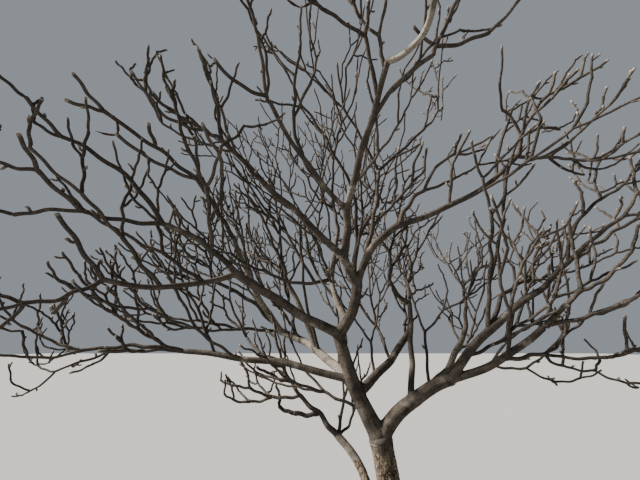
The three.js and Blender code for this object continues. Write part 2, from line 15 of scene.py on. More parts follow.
import bpy
import numpy as np
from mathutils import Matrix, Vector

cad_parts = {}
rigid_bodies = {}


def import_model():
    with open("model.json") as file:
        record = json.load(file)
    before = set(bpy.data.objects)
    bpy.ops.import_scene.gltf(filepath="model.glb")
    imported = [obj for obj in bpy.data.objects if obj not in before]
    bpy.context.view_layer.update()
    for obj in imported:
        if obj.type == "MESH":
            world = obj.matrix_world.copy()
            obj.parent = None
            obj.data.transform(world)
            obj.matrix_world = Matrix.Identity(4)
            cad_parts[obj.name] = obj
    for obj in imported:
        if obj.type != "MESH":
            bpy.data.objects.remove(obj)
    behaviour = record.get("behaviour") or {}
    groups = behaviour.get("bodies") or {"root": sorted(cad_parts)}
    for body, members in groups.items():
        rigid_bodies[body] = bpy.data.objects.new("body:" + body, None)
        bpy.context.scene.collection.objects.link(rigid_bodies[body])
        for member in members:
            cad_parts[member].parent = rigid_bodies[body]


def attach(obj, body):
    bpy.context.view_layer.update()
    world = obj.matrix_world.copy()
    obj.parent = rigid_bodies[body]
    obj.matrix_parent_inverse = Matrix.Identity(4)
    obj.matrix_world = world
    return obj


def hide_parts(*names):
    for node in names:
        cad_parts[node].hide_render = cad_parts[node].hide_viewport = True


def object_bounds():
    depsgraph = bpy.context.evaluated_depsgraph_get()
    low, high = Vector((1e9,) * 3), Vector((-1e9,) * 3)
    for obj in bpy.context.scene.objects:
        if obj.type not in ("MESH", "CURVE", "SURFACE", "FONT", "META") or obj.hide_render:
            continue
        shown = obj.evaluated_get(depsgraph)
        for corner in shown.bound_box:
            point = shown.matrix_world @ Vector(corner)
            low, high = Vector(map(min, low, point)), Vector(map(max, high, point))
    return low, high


bl_info = {
    "name": "Bare Frangipani Tree",
    "version": (1, 0, 0),
    "blender": (4, 5, 0),
    "location": "3D View > Sidebar > Frangipani",
    "description": "Bark, twigs, seed pods and studio for a frangipani tree without leaves",
    "category": "Object",
}

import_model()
CAD_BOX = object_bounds()

# The solids' limbs and their masses of twigs, each from a share of the way along the limb it
# is on. Heading, rise and girth are given for both ends. A mass's node has twigs_ before its
# name, and its leads are the main twigs at the end of its first one.
Limb = namedtuple("Limb", "name on at heading rise length girth foot flare", defaults=(None, 0))
Mass = namedtuple(
    "Mass", "name on at heading rise length girth reach seed pod_pairs leads", defaults=(0, ()))
Lead = namedtuple("Lead", "heading rise length girth")

LIMBS = [
    Limb("trunk", None, 0, (135, 180), (93, 81), 1120, (196, 152), (0, 0), 38),
    Limb("leader", "trunk", 1, (174, 196), (58, 78), 780, (124, 94)),
    Limb("right_limb", "trunk", 1, (336, 358), (56, 16), 690, (106, 84)),
    Limb("left_front", "leader", 1, (212, 227), (19, 23), 990, (78, 54)),
    Limb("left_arm", "left_front", 1, (221, 199), (42, 14), 550, (40, 32)),
    Limb("left_reach", "left_front", 1, (187, 207), (-25, 11), 750, (38, 30)),
    Limb("high_bough", "leader", 1, (339, 282), (45, 72), 440, (90, 78)),
    Limb("mid_bough", "high_bough", 1, (220, 229), (47, 55), 260, (72, 68)),
    Limb("centre_left", "mid_bough", 1, (194, 196), (41, 43), 1430, (60, 38)),
    Limb("mast_foot", "mid_bough", 1, (308, 249), (65, 69), 390, (64, 60)),
    Limb("mast", "mast_foot", 1, (294, 292), (53, 49), 1080, (58, 40)),
    Limb("upper_left", "mast_foot", 1, (212, 234), (30, 43), 970, (42, 30)),
    Limb("overhead", "mast", 1, (335, 257), (-16, 10), 440, (40, 38)),
    Limb("mast_right", "mast", 0.62, (304, 331), (43, 11), 570, (34, 30)),
    Limb("centre_right", "high_bough", 1, (305, 353), (70, 27), 630, (64, 56)),
    Limb("right_arm", "centre_right", 1, (360, 344), (14, 45), 1240, (50, 36)),
    Limb("back_high", "high_bough", 0.9, (101, 13), (68, 55), 1000, (52, 38)),
    Limb("back_right", "leader", 0.42, (41, 31), (21, 44), 890, (76, 56)),
    Limb("back_left", "leader", 0.5, (121, 148), (31, 16), 1080, (78, 68)),
    Limb("back_left_arm", "back_left", 1, (226, 249), (43, 51), 1130, (64, 44)),
    Limb("low_left", "leader", 0.55, (173, 172), (13, 3), 1470, (58, 42)),
    Limb("right_upper", "right_limb", 1, (342, 355), (52, 27), 1010, (68, 44)),
    Limb("right_lower", "right_limb", 1, (346, 328), (14, 42), 740, (58, 42)),
    Limb("right_back", "right_limb", 0.55, (37, 34), (11, 48), 1110, (66, 46)),
    Limb("right_tall", "right_limb", 0.5, (60, 60), (52, 74), 860, (48, 42)),
    Limb("second_stem", None, 0, (78, 149), (79, 33), 1190, (88, 66), (-20, 130), 10),
    Limb("back_middle", "high_bough", 0.3, (130, 40), (49, 76), 1180, (56, 40)),
    Limb("middle_left", "back_left", 0.5, (179, 181), (72, 58), 670, (60, 46)),
]

MASSES = [
    Mass("left_arm", "left_arm", 1, (188, 197), (-4, 14), 440, (30, 26), 950, 105, leads=[
        ((220, 232), (30, 39), 290, (26, 24)), ((198, 194), (-3, -22), 310, (24, 22))]),
    Mass("left_reach", "left_reach", 1, (175, 189), (-36, -3), 410, (27, 24), 900, 279),
    Mass("left_arm_up", "left_arm", 1, (199, 182), (55, 21), 940, (32, 25), 700, 206, leads=[
        ((226, 241), (32, 40), 260, (24, 22)), ((204, 223), (4, 31), 160, (22, 20))]),
    Mass("upper_left", "upper_left", 0.97, (227, 228), (44, 45), 70, (29, 27), 900, 206,
         pod_pairs=2, leads=[
        ((201, 234), (-11, 26), 380, (26, 23)), ((257, 252), (62, 61), 400, (26, 24)),
        ((302, 201), (80, 66), 430, (23, 21))]),
    Mass("mast_up", "mast", 0.95, (240, 249), (60, 64), 240, (30, 26), 850, 197),
    Mass("mast_left", "mast", 0.78, (243, 243), (60, 60), 430, (33, 28), 800, 186, leads=[
        ((207, 206), (7, 2), 330, (26, 24)), ((280, 281), (61, 61), 240, (27, 25))]),
    Mass("mast_right", "mast_right", 1, (305, 305), (54, 54), 60, (29, 27), 900, 28, leads=[
        ((325, 326), (60, 59), 190, (27, 25)), ((349, 336), (-16, 9), 310, (26, 23)),
        ((180, 190), (42, 69), 230, (22, 20))]),
    Mass("overhead", "overhead", 1, (262, 250), (45, 62), 360, (34, 27), 1000, 239),
    Mass("centre_left", "centre_left", 1, (265, 243), (61, 57), 510, (32, 26), 700, 116),
    Mass("centre_left_side", "centre_left", 0.97, (187, 188), (33, 36), 210, (34, 31), 900, 48,
         leads=[
        ((197, 211), (15, 35), 500, (29, 26)), ((188, 226), (-8, 51), 550, (28, 25)),
        ((182, 211), (29, 70), 460, (25, 23))]),
    Mass("upper_left_up", "upper_left", 0.3, (186, 252), (43, 80), 600, (34, 28), 1000, 19,
         pod_pairs=1, leads=[
        ((276, 275), (64, 64), 320, (26, 24)), ((312, 317), (49, 44), 290, (24, 22))]),
    Mass("right_arm", "right_arm", 1, (261, 262), (56, 56), 130, (34, 30), 900, 74, leads=[
        ((296, 329), (58, 36), 380, (29, 26)), ((234, 192), (66, 23), 290, (24, 22)),
        ((341, 361), (34, -10), 300, (25, 23))]),
    Mass("right_arm_side", "right_arm", 0.97, (355, 350), (-13, -2), 240, (30, 25), 850, 62, leads=[
        ((346, 345), (-19, -19), 150, (25, 23)), ((324, 322), (25, 27), 150, (23, 22))]),
    Mass("right_lower", "right_lower", 1, (350, 350), (33, 31), 40, (40, 36), 950, 175, leads=[
        ((327, 333), (46, 39), 330, (36, 29)), ((342, 335), (8, 24), 450, (30, 25))]),
    Mass("right_upper", "right_upper", 1, (352, 354), (42, 37), 340, (42, 34), 950, 112,
         pod_pairs=1, leads=[
        ((321, 330), (42, 31), 500, (32, 26)), ((356, 358), (31, 26), 750, (30, 25)),
        ((301, 358), (80, 28), 630, (28, 24))]),
    Mass("low_left_up", "low_left", 1, (201, 217), (14, 36), 420, (32, 26), 900, 162),
    Mass("low_left", "low_left", 1, (184, 177), (9, -8), 900, (36, 28), 1100, 27),
    Mass("right_upper_up", "right_upper", 0.45, (354, 352), (75, 78), 370, (38, 30), 1100, 213,
         leads=[
        ((281, 263), (66, 66), 560, (29, 25)), ((324, 297), (65, 73), 810, (27, 24))]),
    Mass("right_lower_side", "right_lower", 0.4, (-1, 5), (19, 1), 440, (34, 27), 1000, 237),
    Mass("centre_right_up", "centre_right", 1, (2, 7), (75, 30), 440, (40, 32), 1050, 226,
         pod_pairs=1, leads=[
        ((328, 358), (70, 25), 460, (28, 25)), ((11, 5), (19, 34), 360, (27, 25))]),
    Mass("back_left_side", "back_left", 1, (189, 178), (49, 21), 920, (50, 36), 1250, 60),
    Mass("back_left_arm", "back_left_arm", 1, (243, 247), (38, 32), 630, (44, 36), 1000, 123,
         pod_pairs=2, leads=[
        ((223, 233), (22, 11), 730, (34, 28)), ((210, 241), (-1, 19), 610, (30, 26)),
        ((287, 235), (70, 63), 370, (30, 26))]),
    Mass("right_tall", "right_tall", 1, (154, 332), (32, 89), 580, (40, 30), 1150, 229),
    Mass("back_high", "back_high", 1, (40, 60), (50, 62), 400, (36, 28), 1250, 53),
    Mass("back_high_side", "back_high", 0.55, (283, 191), (85, 51), 960, (36, 28), 1100, 245,
         pod_pairs=1, leads=[
        ((236, 213), (48, 27), 540, (26, 23)), ((299, 294), (55, 57), 320, (24, 22))]),
    Mass("right_far", "right_upper", 0.5, (32, 17), (55, 12), 790, (38, 28), 1150, 162),
    Mass("back_right", "back_right", 1, (62, 72), (45, 62), 700, (44, 32), 1250, 112),
    Mass("right_back", "right_back", 1, (50, 60), (42, 58), 650, (40, 30), 1250, 101),
    Mass("back_left_back", "back_left", 0.8, (105, 115), (40, 60), 850, (44, 34), 1250, 112),
    Mass("second_left", "second_stem", 1, (175, 176), (44, 39), 490, (56, 38), 1000, 146),
    Mass("back_middle", "back_middle", 1, (179, 180), (85, 77), 290, (36, 30), 950, 12, leads=[
        ((252, 298), (68, 67), 750, (30, 25)), ((174, 210), (23, 78), 520, (28, 24))]),
    Mass("middle_left", "middle_left", 1, (209, 205), (72, 64), 270, (40, 32), 950, 51, leads=[
        ((194, 197), (63, 67), 440, (30, 25)), ((211, 203), (87, 76), 660, (28, 24))]),
]

# Slim branches that only twigs grow on: each joins the spray of the limb that it is on, or
# that bears the one it is on, and a higher level gives it fewer and shorter shoots
Slim = namedtuple("Slim", "name on at heading rise length girth level", defaults=(-1,))
SLIM_BRANCHES = [
    Slim("middle_side", "back_middle", 0.42, (172, 193), (-19, 31), 680, (36, 28)),
    Slim("middle_up", "middle_side", 0.25, (185, 194), (57, 65), 800, (30, 24)),
    Slim("middle_tall", "back_left", 0.45, (195, 271), (70, 82), 1290, (30, 22)),
    Slim("middle_slim", "back_middle", 0.2, (143, 155), (45, 89), 970, (28, 22)),
    Slim("second_up", "second_stem", 1, (29, 28), (72, 78), 310, (34, 26), 1),
    Slim("second_right", "second_stem", 1, (29, 35), (16, 62), 250, (30, 24), 1),
    Slim("reach_end", "left_reach", 1, (212, 211), (50, 49), 450, (27, 24)),
    Slim("low_far", "low_left", 1, (179, 166), (6, -22), 1250, (30, 20), 1),
    Slim("low_back", "back_left", 1, (178, 192), (2, 12), 900, (34, 27), 0),
    Slim("low_back_side", "low_back", 0.5, (205, 222), (-8, 14), 700, (28, 23), 1),
    Slim("mast_back", "centre_right", 0.25, (368, 343), (71, 84), 970, (38, 29)),
    Slim("mast_side", "mast_back", 1, (332, 329), (32, 34), 540, (28, 24)),
    Slim("mast_turn", "mast_back", 1, (220, 215), (52, 48), 660, (27, 23)),
    Slim("back_rise", "back_right", 0.55, (100, 92), (45, 64), 800, (30, 24)),
    Slim("back_turn", "back_right", 0.9, (70, 60), (38, 55), 800, (28, 22), 1),
]

# The rule of growth, as in the solids
TWIG_CLEARANCE = 5
SPACE = Group(heart=0.38, lift=0.35, radius=0.62, allowance=130, lowest=700)
OPEN_CENTRE = np.array((-480.0, -2000.0, 1700.0))
OPEN_RADIUS = 1080
PATH_STEPS = 12
BOW = 0.011
FLARE = Group(height=120, lobes=5, depth=0.3)
COLLAR = Group(swell=0.14, length=0.9)
Level = namedtuple("Level", "shoots length girth")
LEVELS = [
    Level(2.3, 0.30, 0.86),
    Level(1.8, 0.24, 0.90),
    Level(1.4, 0.19, 0.93),
    Level(1.0, 0.13, 0.96),
]
Habit = namedtuple("Habit", "first other upturn least_girth")
HABIT = Habit((14, 30), (36, 58), (0.2, 0.65), 18)
LEAN_TURN = 24
LENGTH_RANGE = (0.78, 1.22)
OUTTURN = (0, 0.45)
TWIG_STEPS = 4
TAPER = 0.94
THREE_SIDED = 1.2
TRIES = 4
POD = Group(length=170, girths=(8, 18, 15, 3), lean=66, curl=0.5, sunk=9, room=11)

# Finer twigs, which the solids leave out
FINE_LEVELS = LEVELS + [Level(1.0, 0.12, 0.94), Level(0, 0.036, 0.7)]
SPUR_LEVEL = 5
SPURS = Group(apart=700, lean=(40, 65), margin=0.2)
FINE_HABIT = Habit((12, 28), (30, 50), (0.3, 0.75), 13)
FORK_SHOOTS = (3, 2.5, 2.3, 1.9, 1.4)
SIDE_SPACING = 170
SIDE_BRANCH = Group(
    seed=3800, reach=1350, spacing=230, clear=200, lowest=1000, girth=30, lean=(34, 56),
    early=0.2)
FULLNESS = Group(near=1900, far=3900, least=0.1)
SIDE_FULLNESS = Group(near=1300, far=2900, least=0.2)
LEAST_FORK = 0.75
BOX_MARGIN = 10

# From one side shoot or leaf scar to the next round a twig, in radians
SIDE_TURN = 2.4

# Openings through the crown, seen from the viewing point: heading, rise, half angle
VIEWPOINT = np.array((-500.0, -2300.0, 1750.0))
OPENINGS = [
    (152, 42, 5.9), (143, 49, 5.2), (130, 57, 3.7), (134, 53, 3.4), (34, 46, 5.0),
    (52, 43, 4.2), (40, 44, 3.4), (29, 42, 3.1), (85, 58, 2.1), (112, 46, 2.7),
    (142, 45, 1.6), (139, 14, 1.9), (147, 30, 1.3), (146, 37, 2.5), (118, 56, 3.3),
    (102, 64, 2.2), (60, 61, 2.5), (45, 54, 2.2), (60, 39, 2.6), (123, 46, 2.6),
    (103, 61, 2.0), (50, 38, 2.0), (44, 21, 1.5), (65, 57, 2.2), (135, 40, 1.9),
    (127, 50, 1.9), (133, 38, 1.7), (40, 35, 1.3), (64, 59, 1.7), (133, 26, 1.5),
    (122, 43, 1.7),
]

# Keys that hold the rows of random numbers apart
SPRAY_KEY = 100003
TWIG_KEY = 31
ATTEMPT_KEY = 7919
PART_KEYS = Group(count=17, fill=23, spurs=29, fine=50, mesh=7)
RING_KEY = 900
POD_KEY = 7000
FORK_KEY = 4
LIMB_ID = 10**6
FIRST_SLIM_KEY = 37

UP = np.array((0.0, 0.0, 1.0))
TURN = 2 * math.pi


def mix(a, b, share):
    return (1 - share) * a + share * b


def unit(vector):
    return vector / math.sqrt(vector @ vector)


def draws(key):
    """Repeatable random numbers from 0 to 1: one key always gives the same row of them."""
    full = 0xFFFFFFFF
    state = key & full

    def draw():
        nonlocal state
        state = (state + 0x6D2B79F5) & full
        bits = ((state ^ (state >> 15)) * (state | 1)) & full
        bits ^= (bits + (bits ^ (bits >> 7)) * (bits | 61)) & full
        return (bits ^ (bits >> 14)) / 4294967296

    return draw


def wavering(draw):
    """How far a shoot turns off its even place round its bearer."""
    return math.radians(LEAN_TURN) * (2 * draw() - 1)


def towards(heading, rise):
    level = math.cos(math.radians(rise))
    turned = math.radians(heading)
    return np.array(
        (level * math.cos(turned), level * math.sin(turned), math.sin(math.radians(rise))))


def limb_path(start, course, key):
    """A centre line whose heading and rise turn evenly, with a slight seeded bow."""
    points = [np.array(start, float)]
    for i in range(PATH_STEPS):
        share = (i + 0.5) / PATH_STEPS
        step = towards(mix(*course.heading, share), mix(*course.rise, share))
        points.append(points[i] + step * (course.length / PATH_STEPS))
    draw = draws(key)
    phase = TURN * draw()
    side = unit(np.cross(points[-1] - points[0], UP))
    waves = 1.2 + draw()
    path = []
    for i, point in enumerate(points):
        share = i / PATH_STEPS
        bow = BOW * course.length * math.sin(math.pi * share) ** 2
        angle = phase + waves * TURN * share
        path.append(point + side * (bow * math.sin(angle)) + UP * (bow * math.cos(angle)))
    return np.array(path)


def side_of(direction):
    """A level direction at right angles to the given one."""
    side = np.array((1.0, 0.0, 0.0)) if abs(direction[2]) > 0.95 else UP
    return unit(np.cross(side, direction))


def stretch_at(path, share):
    """The start and the step of a path's stretch, and the place along it, at a share."""
    place = share * (len(path) - 1)
    index = min(int(place), len(path) - 2)
    return path[index], path[index + 1] - path[index], place - index


def point_at(path, share):
    start, step, place = stretch_at(path, share)
    return start + step * place


def direction_at(path, share):
    return unit(stretch_at(path, share)[1])


def limb_radius(limb, share):
    collar = COLLAR.swell * np.exp(-share * limb.length / (COLLAR.length * limb.girth[0]))
    return mix(*limb.girth, share) / 2 * (1 if limb.foot else 1 + collar)


class Stretches:
    """The straight stretches of everything that has grown, each with the radius it needs."""

    def __init__(self, room=40000):
        self.count = 0
        self.start, self.end, self.middle = np.zeros((3, room, 3))
        self.half, self.radius = np.zeros((2, room))
        self.owner, self.parent = np.zeros((2, room), int)
        self.first = np.zeros(room, bool)

    def add(self, path, radii, owner, parent):
        rows = slice(self.count, self.count + len(radii))
        self.start[rows] = path[:-1]
        self.end[rows] = path[1:]
        self.middle[rows] = (path[:-1] + path[1:]) / 2
        self.half[rows] = np.linalg.norm(path[1:] - path[:-1], axis=1) / 2
        self.radius[rows] = radii
        self.owner[rows] = owner
        self.parent[rows] = parent
        self.first[rows] = [True] + [False] * (len(radii) - 1)
        self.count += len(radii)

    def meet(self, path, radii, parent):
        """Whether a new path comes too close to any stretch. Its bearer doesn't count, and
        twigs of one fork are compared only beyond their first stretch."""
        centre = (path[0] + path[-1]) / 2
        around = max(np.linalg.norm(path - centre, axis=1)) + max(radii) + TWIG_CLEARANCE
        have = slice(0, self.count)
        away = self.middle[have] - centre
        limit = self.half[have] + self.radius[have] + around
        near = np.nonzero(np.einsum("ij,ij->i", away, away) < limit * limit)[0]
        near = near[self.owner[near] != parent]
        sibling = self.parent[near] == parent
        for i, radius in enumerate(radii):
            some = near[~sibling] if i == 0 else near[~(sibling & self.first[near])]
            if not len(some):
                continue
            gap = stretch_gap(path[i], path[i + 1], self.start[some], self.end[some])
            if (gap < self.radius[some] + radius + TWIG_CLEARANCE).any():
                return True
        return False


def stretch_gap(a, b, c, d):
    """The shortest distance from one straight stretch to each of several."""
    ab = b - a
    cd = d - c
    ca = a - c
    aa = ab @ ab
    cc = np.einsum("ij,ij->i", cd, cd)
    ac = cd @ ab
    af = ca @ ab
    cf = np.einsum("ij,ij->i", cd, ca)
    spread = aa * cc - ac * ac
    level = spread <= 1e-9
    s = np.where(level, 0, np.clip((ac * cf - af * cc) / np.where(level, 1, spread), 0, 1))
    t = (ac * s + cf) / cc
    s = np.where(t < 0, np.clip(-af / aa, 0, 1), np.where(t > 1, np.clip((ac - af) / aa, 0, 1), s))
    t = np.clip(t, 0, 1)
    return np.linalg.norm(ca + s[:, None] * ab - t[:, None] * cd, axis=1)


class Twig:
    """One twig: its path, its girth at both ends, and the keys that its shoots grow by."""

    def __init__(self, tree, spray, parent, key, path, girth, direction, turn, level):
        self.serial = tree.serial = tree.serial + 1
        self.spray = spray
        self.parent = parent
        self.key = key
        self.path = path
        self.girth = girth
        self.direction = direction
        self.turn = turn
        self.level = level
        self.shoots = 0
        self.shut = None
        self.bearer = parent.serial if parent else -1 - self.serial
        self.at_end = parent is not None and bool(np.allclose(path[0], parent.path[-1]))
        shares = (np.arange(len(path) - 1) + 0.5) / (len(path) - 1)
        self.radii = mix(*girth, shares) / 2 * THREE_SIDED

    def hidden(self):
        """Whether the twig, or one that bears it, would close an opening."""
        if self.shut is None:
            self.shut = closes_opening(self.path) or bool(self.parent and self.parent.hidden())
        return self.shut


Pod = namedtuple("Pod", "bearer path")
Bud = namedtuple("Bud", "spray parent level key start along thick")


class Spray:
    """One mass of twigs, round its heart."""

    def __init__(self, mass):
        self.mass = mass
        self.twigs = []
        self.pods = []

    def draws(self, key):
        return draws(self.mass.seed * SPRAY_KEY + key)


class Tree:
    """The limbs and the sprays of twigs, grown in the same order as the solids."""

    def __init__(self):
        self.serial = 0
        self.stretches = Stretches()
        self.limbs = {}
        self.grow_limbs()
        self.sprays = [Spray(mass) for mass in MASSES]
        for number, spray in enumerate(self.sprays):
            self.start_spray(spray, number)
        self.hearts = np.array([spray.heart for spray in self.sprays])
        for spray in self.sprays:
            self.grow_spray(spray)
        for spray in self.sprays:
            self.bear_pods(spray)
        self.side_branches()
        for spray in self.sprays[::-1]:
            self.fill_spray(spray)
        for spray in self.sprays:
            self.add_spurs(spray)

    def grow_limbs(self):
        for number, limb in enumerate(LIMBS):
            start = (*limb.foot, 0) if limb.foot else point_at(self.limbs[limb.on], limb.at)
            path = limb_path(start, limb, number + 1)
            shares = (np.arange(PATH_STEPS) + 0.5) / PATH_STEPS
            self.limbs[limb.name] = path
            self.stretches.add(
                path, limb_radius(limb, shares), LIMB_ID + number, -LIMB_ID - number)

    def keep(self, twig):
        twig.spray.twigs.append(twig)
        self.stretches.add(twig.path, twig.radii, twig.serial, twig.bearer)

    def placed_twig(self, spray, number, parent, start, course, key):
        path = limb_path(start, course, 100 * number + key)
        direction = unit(path[-1] - path[-2])
        turn = spray.draws(key)() * TURN
        level = -1 if parent is None else 0
        twig = Twig(self, spray, parent, key, path, course.girth, direction, turn, level)
        self.keep(twig)
        return twig

    def start_spray(self, spray, number):
        mass = spray.mass
        stem = self.placed_twig(
            spray, number, None, point_at(self.limbs[mass.on], mass.at), mass, 1)
        leads = [
            self.placed_twig(spray, number, stem, stem.path[-1], Lead(*lead), key)
            for key, lead in enumerate(mass.leads, FORK_KEY)
        ]
        stem.shoots = len(leads)
        hearts = []
        for twig in leads or [stem]:
            lifted = unit(twig.direction + UP * SPACE.lift)
            hearts.append(twig.path[-1] + lifted * (SPACE.heart * mass.reach))
        spray.heart = sum(hearts) / len(hearts)

    def in_space(self, points, spray):
        """Whether points keep to the spray's own space. One along a limb has no heart."""
        if (points[:, 2] <= SPACE.lowest).any():
            return False
        if (np.linalg.norm(points - OPEN_CENTRE, axis=1) <= OPEN_RADIUS).any():
            return False
        if spray.heart is None:
            return True
        own = np.linalg.norm(points - spray.heart, axis=1)
        others = np.linalg.norm(points[:, None] - self.hearts, axis=2)
        return (
            (own < SPACE.radius * spray.mass.reach).all()
            and (own[:, None] < others + SPACE.allowance).all()
        )

    def is_free(self, twig):
        return self.in_space(twig.path[1:], twig.spray) and not self.stretches.meet(
            twig.path, twig.radii, twig.bearer)

    def shoot(self, parent, level, index, count, attempt):
        """One shoot at the end of a twig: it leans off to its own side and turns upwards."""
        spray = parent.spray
        key = parent.key * FORK_KEY + index
        draw = spray.draws(key * TWIG_KEY + attempt * ATTEMPT_KEY)
        lean = mix(*(HABIT.first if index == 0 else HABIT.other), draw())
        turn = parent.turn + TURN * index / count + wavering(draw)
        bud = Bud(spray, parent, level, key, parent.path[-1], parent.direction, parent.girth[1])
        return self.shoot_from(bud, lean, turn, draw, HABIT)

    def shoot_from(self, bud, lean, turn, draw, habit):
        lean = math.radians(lean)
        side = side_of(bud.along)
        out = side * math.cos(turn) + np.cross(bud.along, side) * math.sin(turn)
        first = bud.along * math.cos(lean) + out * math.sin(lean)
        outward = unit(bud.start * (1, 1, 0))
        last = unit(first + UP * mix(*habit.upturn, draw()) + outward * mix(*OUTTURN, draw()))
        level = FINE_LEVELS[bud.level]
        length = level.length * bud.spray.mass.reach * mix(*LENGTH_RANGE, draw())
        path = [bud.start]
        for i in range(TWIG_STEPS):
            share = (i + 0.5) / TWIG_STEPS
            path.append(path[i] + unit(first + (last - first) * share) * (length / TWIG_STEPS))
        thick = max(bud.thick * level.girth, habit.least_girth)
        girth = (thick, max(thick * TAPER, habit.least_girth))
        own_turn = TURN * draw()
        return Twig(
            self, bud.spray, bud.parent, bud.key, np.array(path), girth, last, own_turn,
            bud.level)

    def grow_spray(self, spray):
        """Every twig of the level before bears its shoots, and one with no place is skipped."""
        bearers = spray.twigs[1:] or spray.twigs[:1]
        levels = (1, 2, 3) if len(spray.twigs) > 1 else (0, 1, 2, 3)
        for level in levels:
            grown = []
            for parent in bearers:
                chance = spray.draws(parent.key * TWIG_KEY + PART_KEYS.count)()
                count = int(LEVELS[level].shoots + chance)
                for index in range(count):
                    for attempt in range(TRIES):
                        twig = self.shoot(parent, level, index, count, attempt)
                        if self.is_free(twig):
                            self.keep(twig)
                            grown.append(twig)
                            parent.shoots = index + 1
                            break
            bearers = grown

    def pod_pair(self, twig):
        """Two paths from a twig's end, each leaning off to its own side."""
        lean = math.radians(POD.lean)
        steps = len(POD.girths) - 1
        side = side_of(twig.direction)
        pair = []
        for away in (side, -side):
            first = twig.direction * math.cos(lean) + away * math.sin(lean)
            path = [twig.path[-1] - twig.direction * POD.sunk]
            for i in range(steps):
                bent = unit(first + (twig.direction - first) * (POD.curl * i / steps))
                path.append(path[i] + bent * (POD.length / steps))
            pair.append(np.array(path))
        return pair

    def bear_pods(self, spray):
        bearing = {twig.parent for twig in spray.twigs}
        ends = [twig for twig in spray.twigs if twig not in bearing]
        room = np.full(len(POD.girths) - 1, POD.room)
        for twig in ends:
            if len(spray.pods) >= 2 * spray.mass.pod_pairs:
                return
            pair = self.pod_pair(twig)
            if all(
                self.in_space(path[1:], spray) and not self.stretches.meet(path, room, twig.serial)
                for path in pair
            ):
                spray.pods += [Pod(twig, path) for path in pair]
                twig.shoots = len(FORK_SHOOTS)
        for pod in spray.pods:
            self.stretches.add(pod.path, room, 0, 0)

    def side_branches(self):
        """Branches that leave the boughs on their way, each with its own shoots."""
        sprays = {}
        for number, limb in enumerate(LIMBS):
            end = self.limbs[limb.name][-1]
            near = min(
                self.sprays[:len(MASSES)], key=lambda spray: np.linalg.norm(spray.heart - end))
            sprays[limb.name] = Spray(near.mass._replace(
                name=limb.name, seed=SIDE_BRANCH.seed + number, reach=SIDE_BRANCH.reach))
            sprays[limb.name].heart = None
        self.sprays += sprays.values()
        for number, slim in enumerate(SLIM_BRANCHES, FIRST_SLIM_KEY):
            spray = sprays[slim.name] = sprays[slim.on]
            twig = self.placed_twig(
                spray, number, None, point_at(self.limbs[slim.on], slim.at), slim, 1)
            twig.level = slim.level
            self.limbs[slim.name] = twig.path
        for number, limb in enumerate(LIMBS):
            path = self.limbs[limb.name]
            places = int(limb.length / SIDE_BRANCH.spacing)
            for place in range(1, places + 1):
                share = (place - SIDE_BRANCH.early) / places
                start = point_at(path, share)
                if limb.length * share < SIDE_BRANCH.clear or start[2] < SIDE_BRANCH.lowest:
                    continue
                draw = sprays[limb.name].draws(place)
                lean = mix(*SIDE_BRANCH.lean, draw())
                turn = SIDE_TURN * place + number + draw()
                if draw() < fullness_at(start, SIDE_FULLNESS):
                    self.side_branch(sprays[limb.name], number, share, lean, turn)

    def side_branch(self, spray, number, share, lean, turn):
        """A branch that rises from a limb on the first side where it has room."""
        path = self.limbs[spray.mass.name]
        bud = Bud(
            spray, None, 0, 0, point_at(path, share), direction_at(path, share),
            SIDE_BRANCH.girth)
        for attempt in range(TRIES):
            twig = self.shoot_from(
                bud, lean, turn + TURN * attempt / TRIES, self.fine_draw(spray), FINE_HABIT)
            twig.bearer = LIMB_ID + number
            if twig.path[-1][2] > twig.path[0][2] and self.wanted(twig):
                self.keep(twig)
                return

    def fine_draw(self, spray):
        """Each finer twig has its own key, from its number among all the twigs."""
        return spray.draws((self.serial + 1) * TWIG_KEY + PART_KEYS.fine)

    def wanted(self, twig):
        return not closes_opening(twig.path) and inside_box(twig.path) and self.is_free(twig)

    def fine_shoot(self, parent, level, share, lean, turn):
        """A finer twig, kept where it has room and leaves the openings open."""
        draw = self.fine_draw(parent.spray)
        along = direction_at(parent.path, share) if share < 1 else parent.direction
        lean = mix(*lean, draw())
        turn += wavering(draw)
        bud = Bud(
            parent.spray, parent, level, 0, point_at(parent.path, share), along,
            mix(*parent.girth, share))
        twig = self.shoot_from(bud, lean, turn, draw, FINE_HABIT)
        if not self.wanted(twig):
            return None
        self.keep(twig)
        return twig

    def fill_spray(self, spray):
        """Adds more shoots at the forks, side shoots along the longer twigs, and one more
        level at the ends."""
        row = list(spray.twigs)
        for parent in row:
            draw = spray.draws(parent.serial * TWIG_KEY + PART_KEYS.fill)
            fullness = fullness_at(parent.path[-1], FULLNESS)
            level = parent.level + 1
            if level < SPUR_LEVEL and parent.shoots < len(FORK_SHOOTS):
                missing = max(FORK_SHOOTS[level] - parent.shoots, 0)
                wanted = parent.shoots + int(missing * fullness + draw())
                if spray.heart is None:
                    share = LEAST_FORK + (1 - LEAST_FORK) * fullness
                    wanted = int(FORK_SHOOTS[level] * share + draw())
                for index in range(parent.shoots, wanted):
                    row += self.fork_shoot(parent, level, index, max(wanted, 2))
            places = int(np.linalg.norm(parent.path[-1] - parent.path[0]) / SIDE_SPACING)
            level = min(parent.level + 2, SPUR_LEVEL - 1)
            for place in range(1, places):
                if draw() < fullness:
                    turn = parent.turn + SIDE_TURN * place
                    twig = self.fine_shoot(
                        parent, level, place / places, FINE_HABIT.other, turn)
                    row += [twig] if twig else []

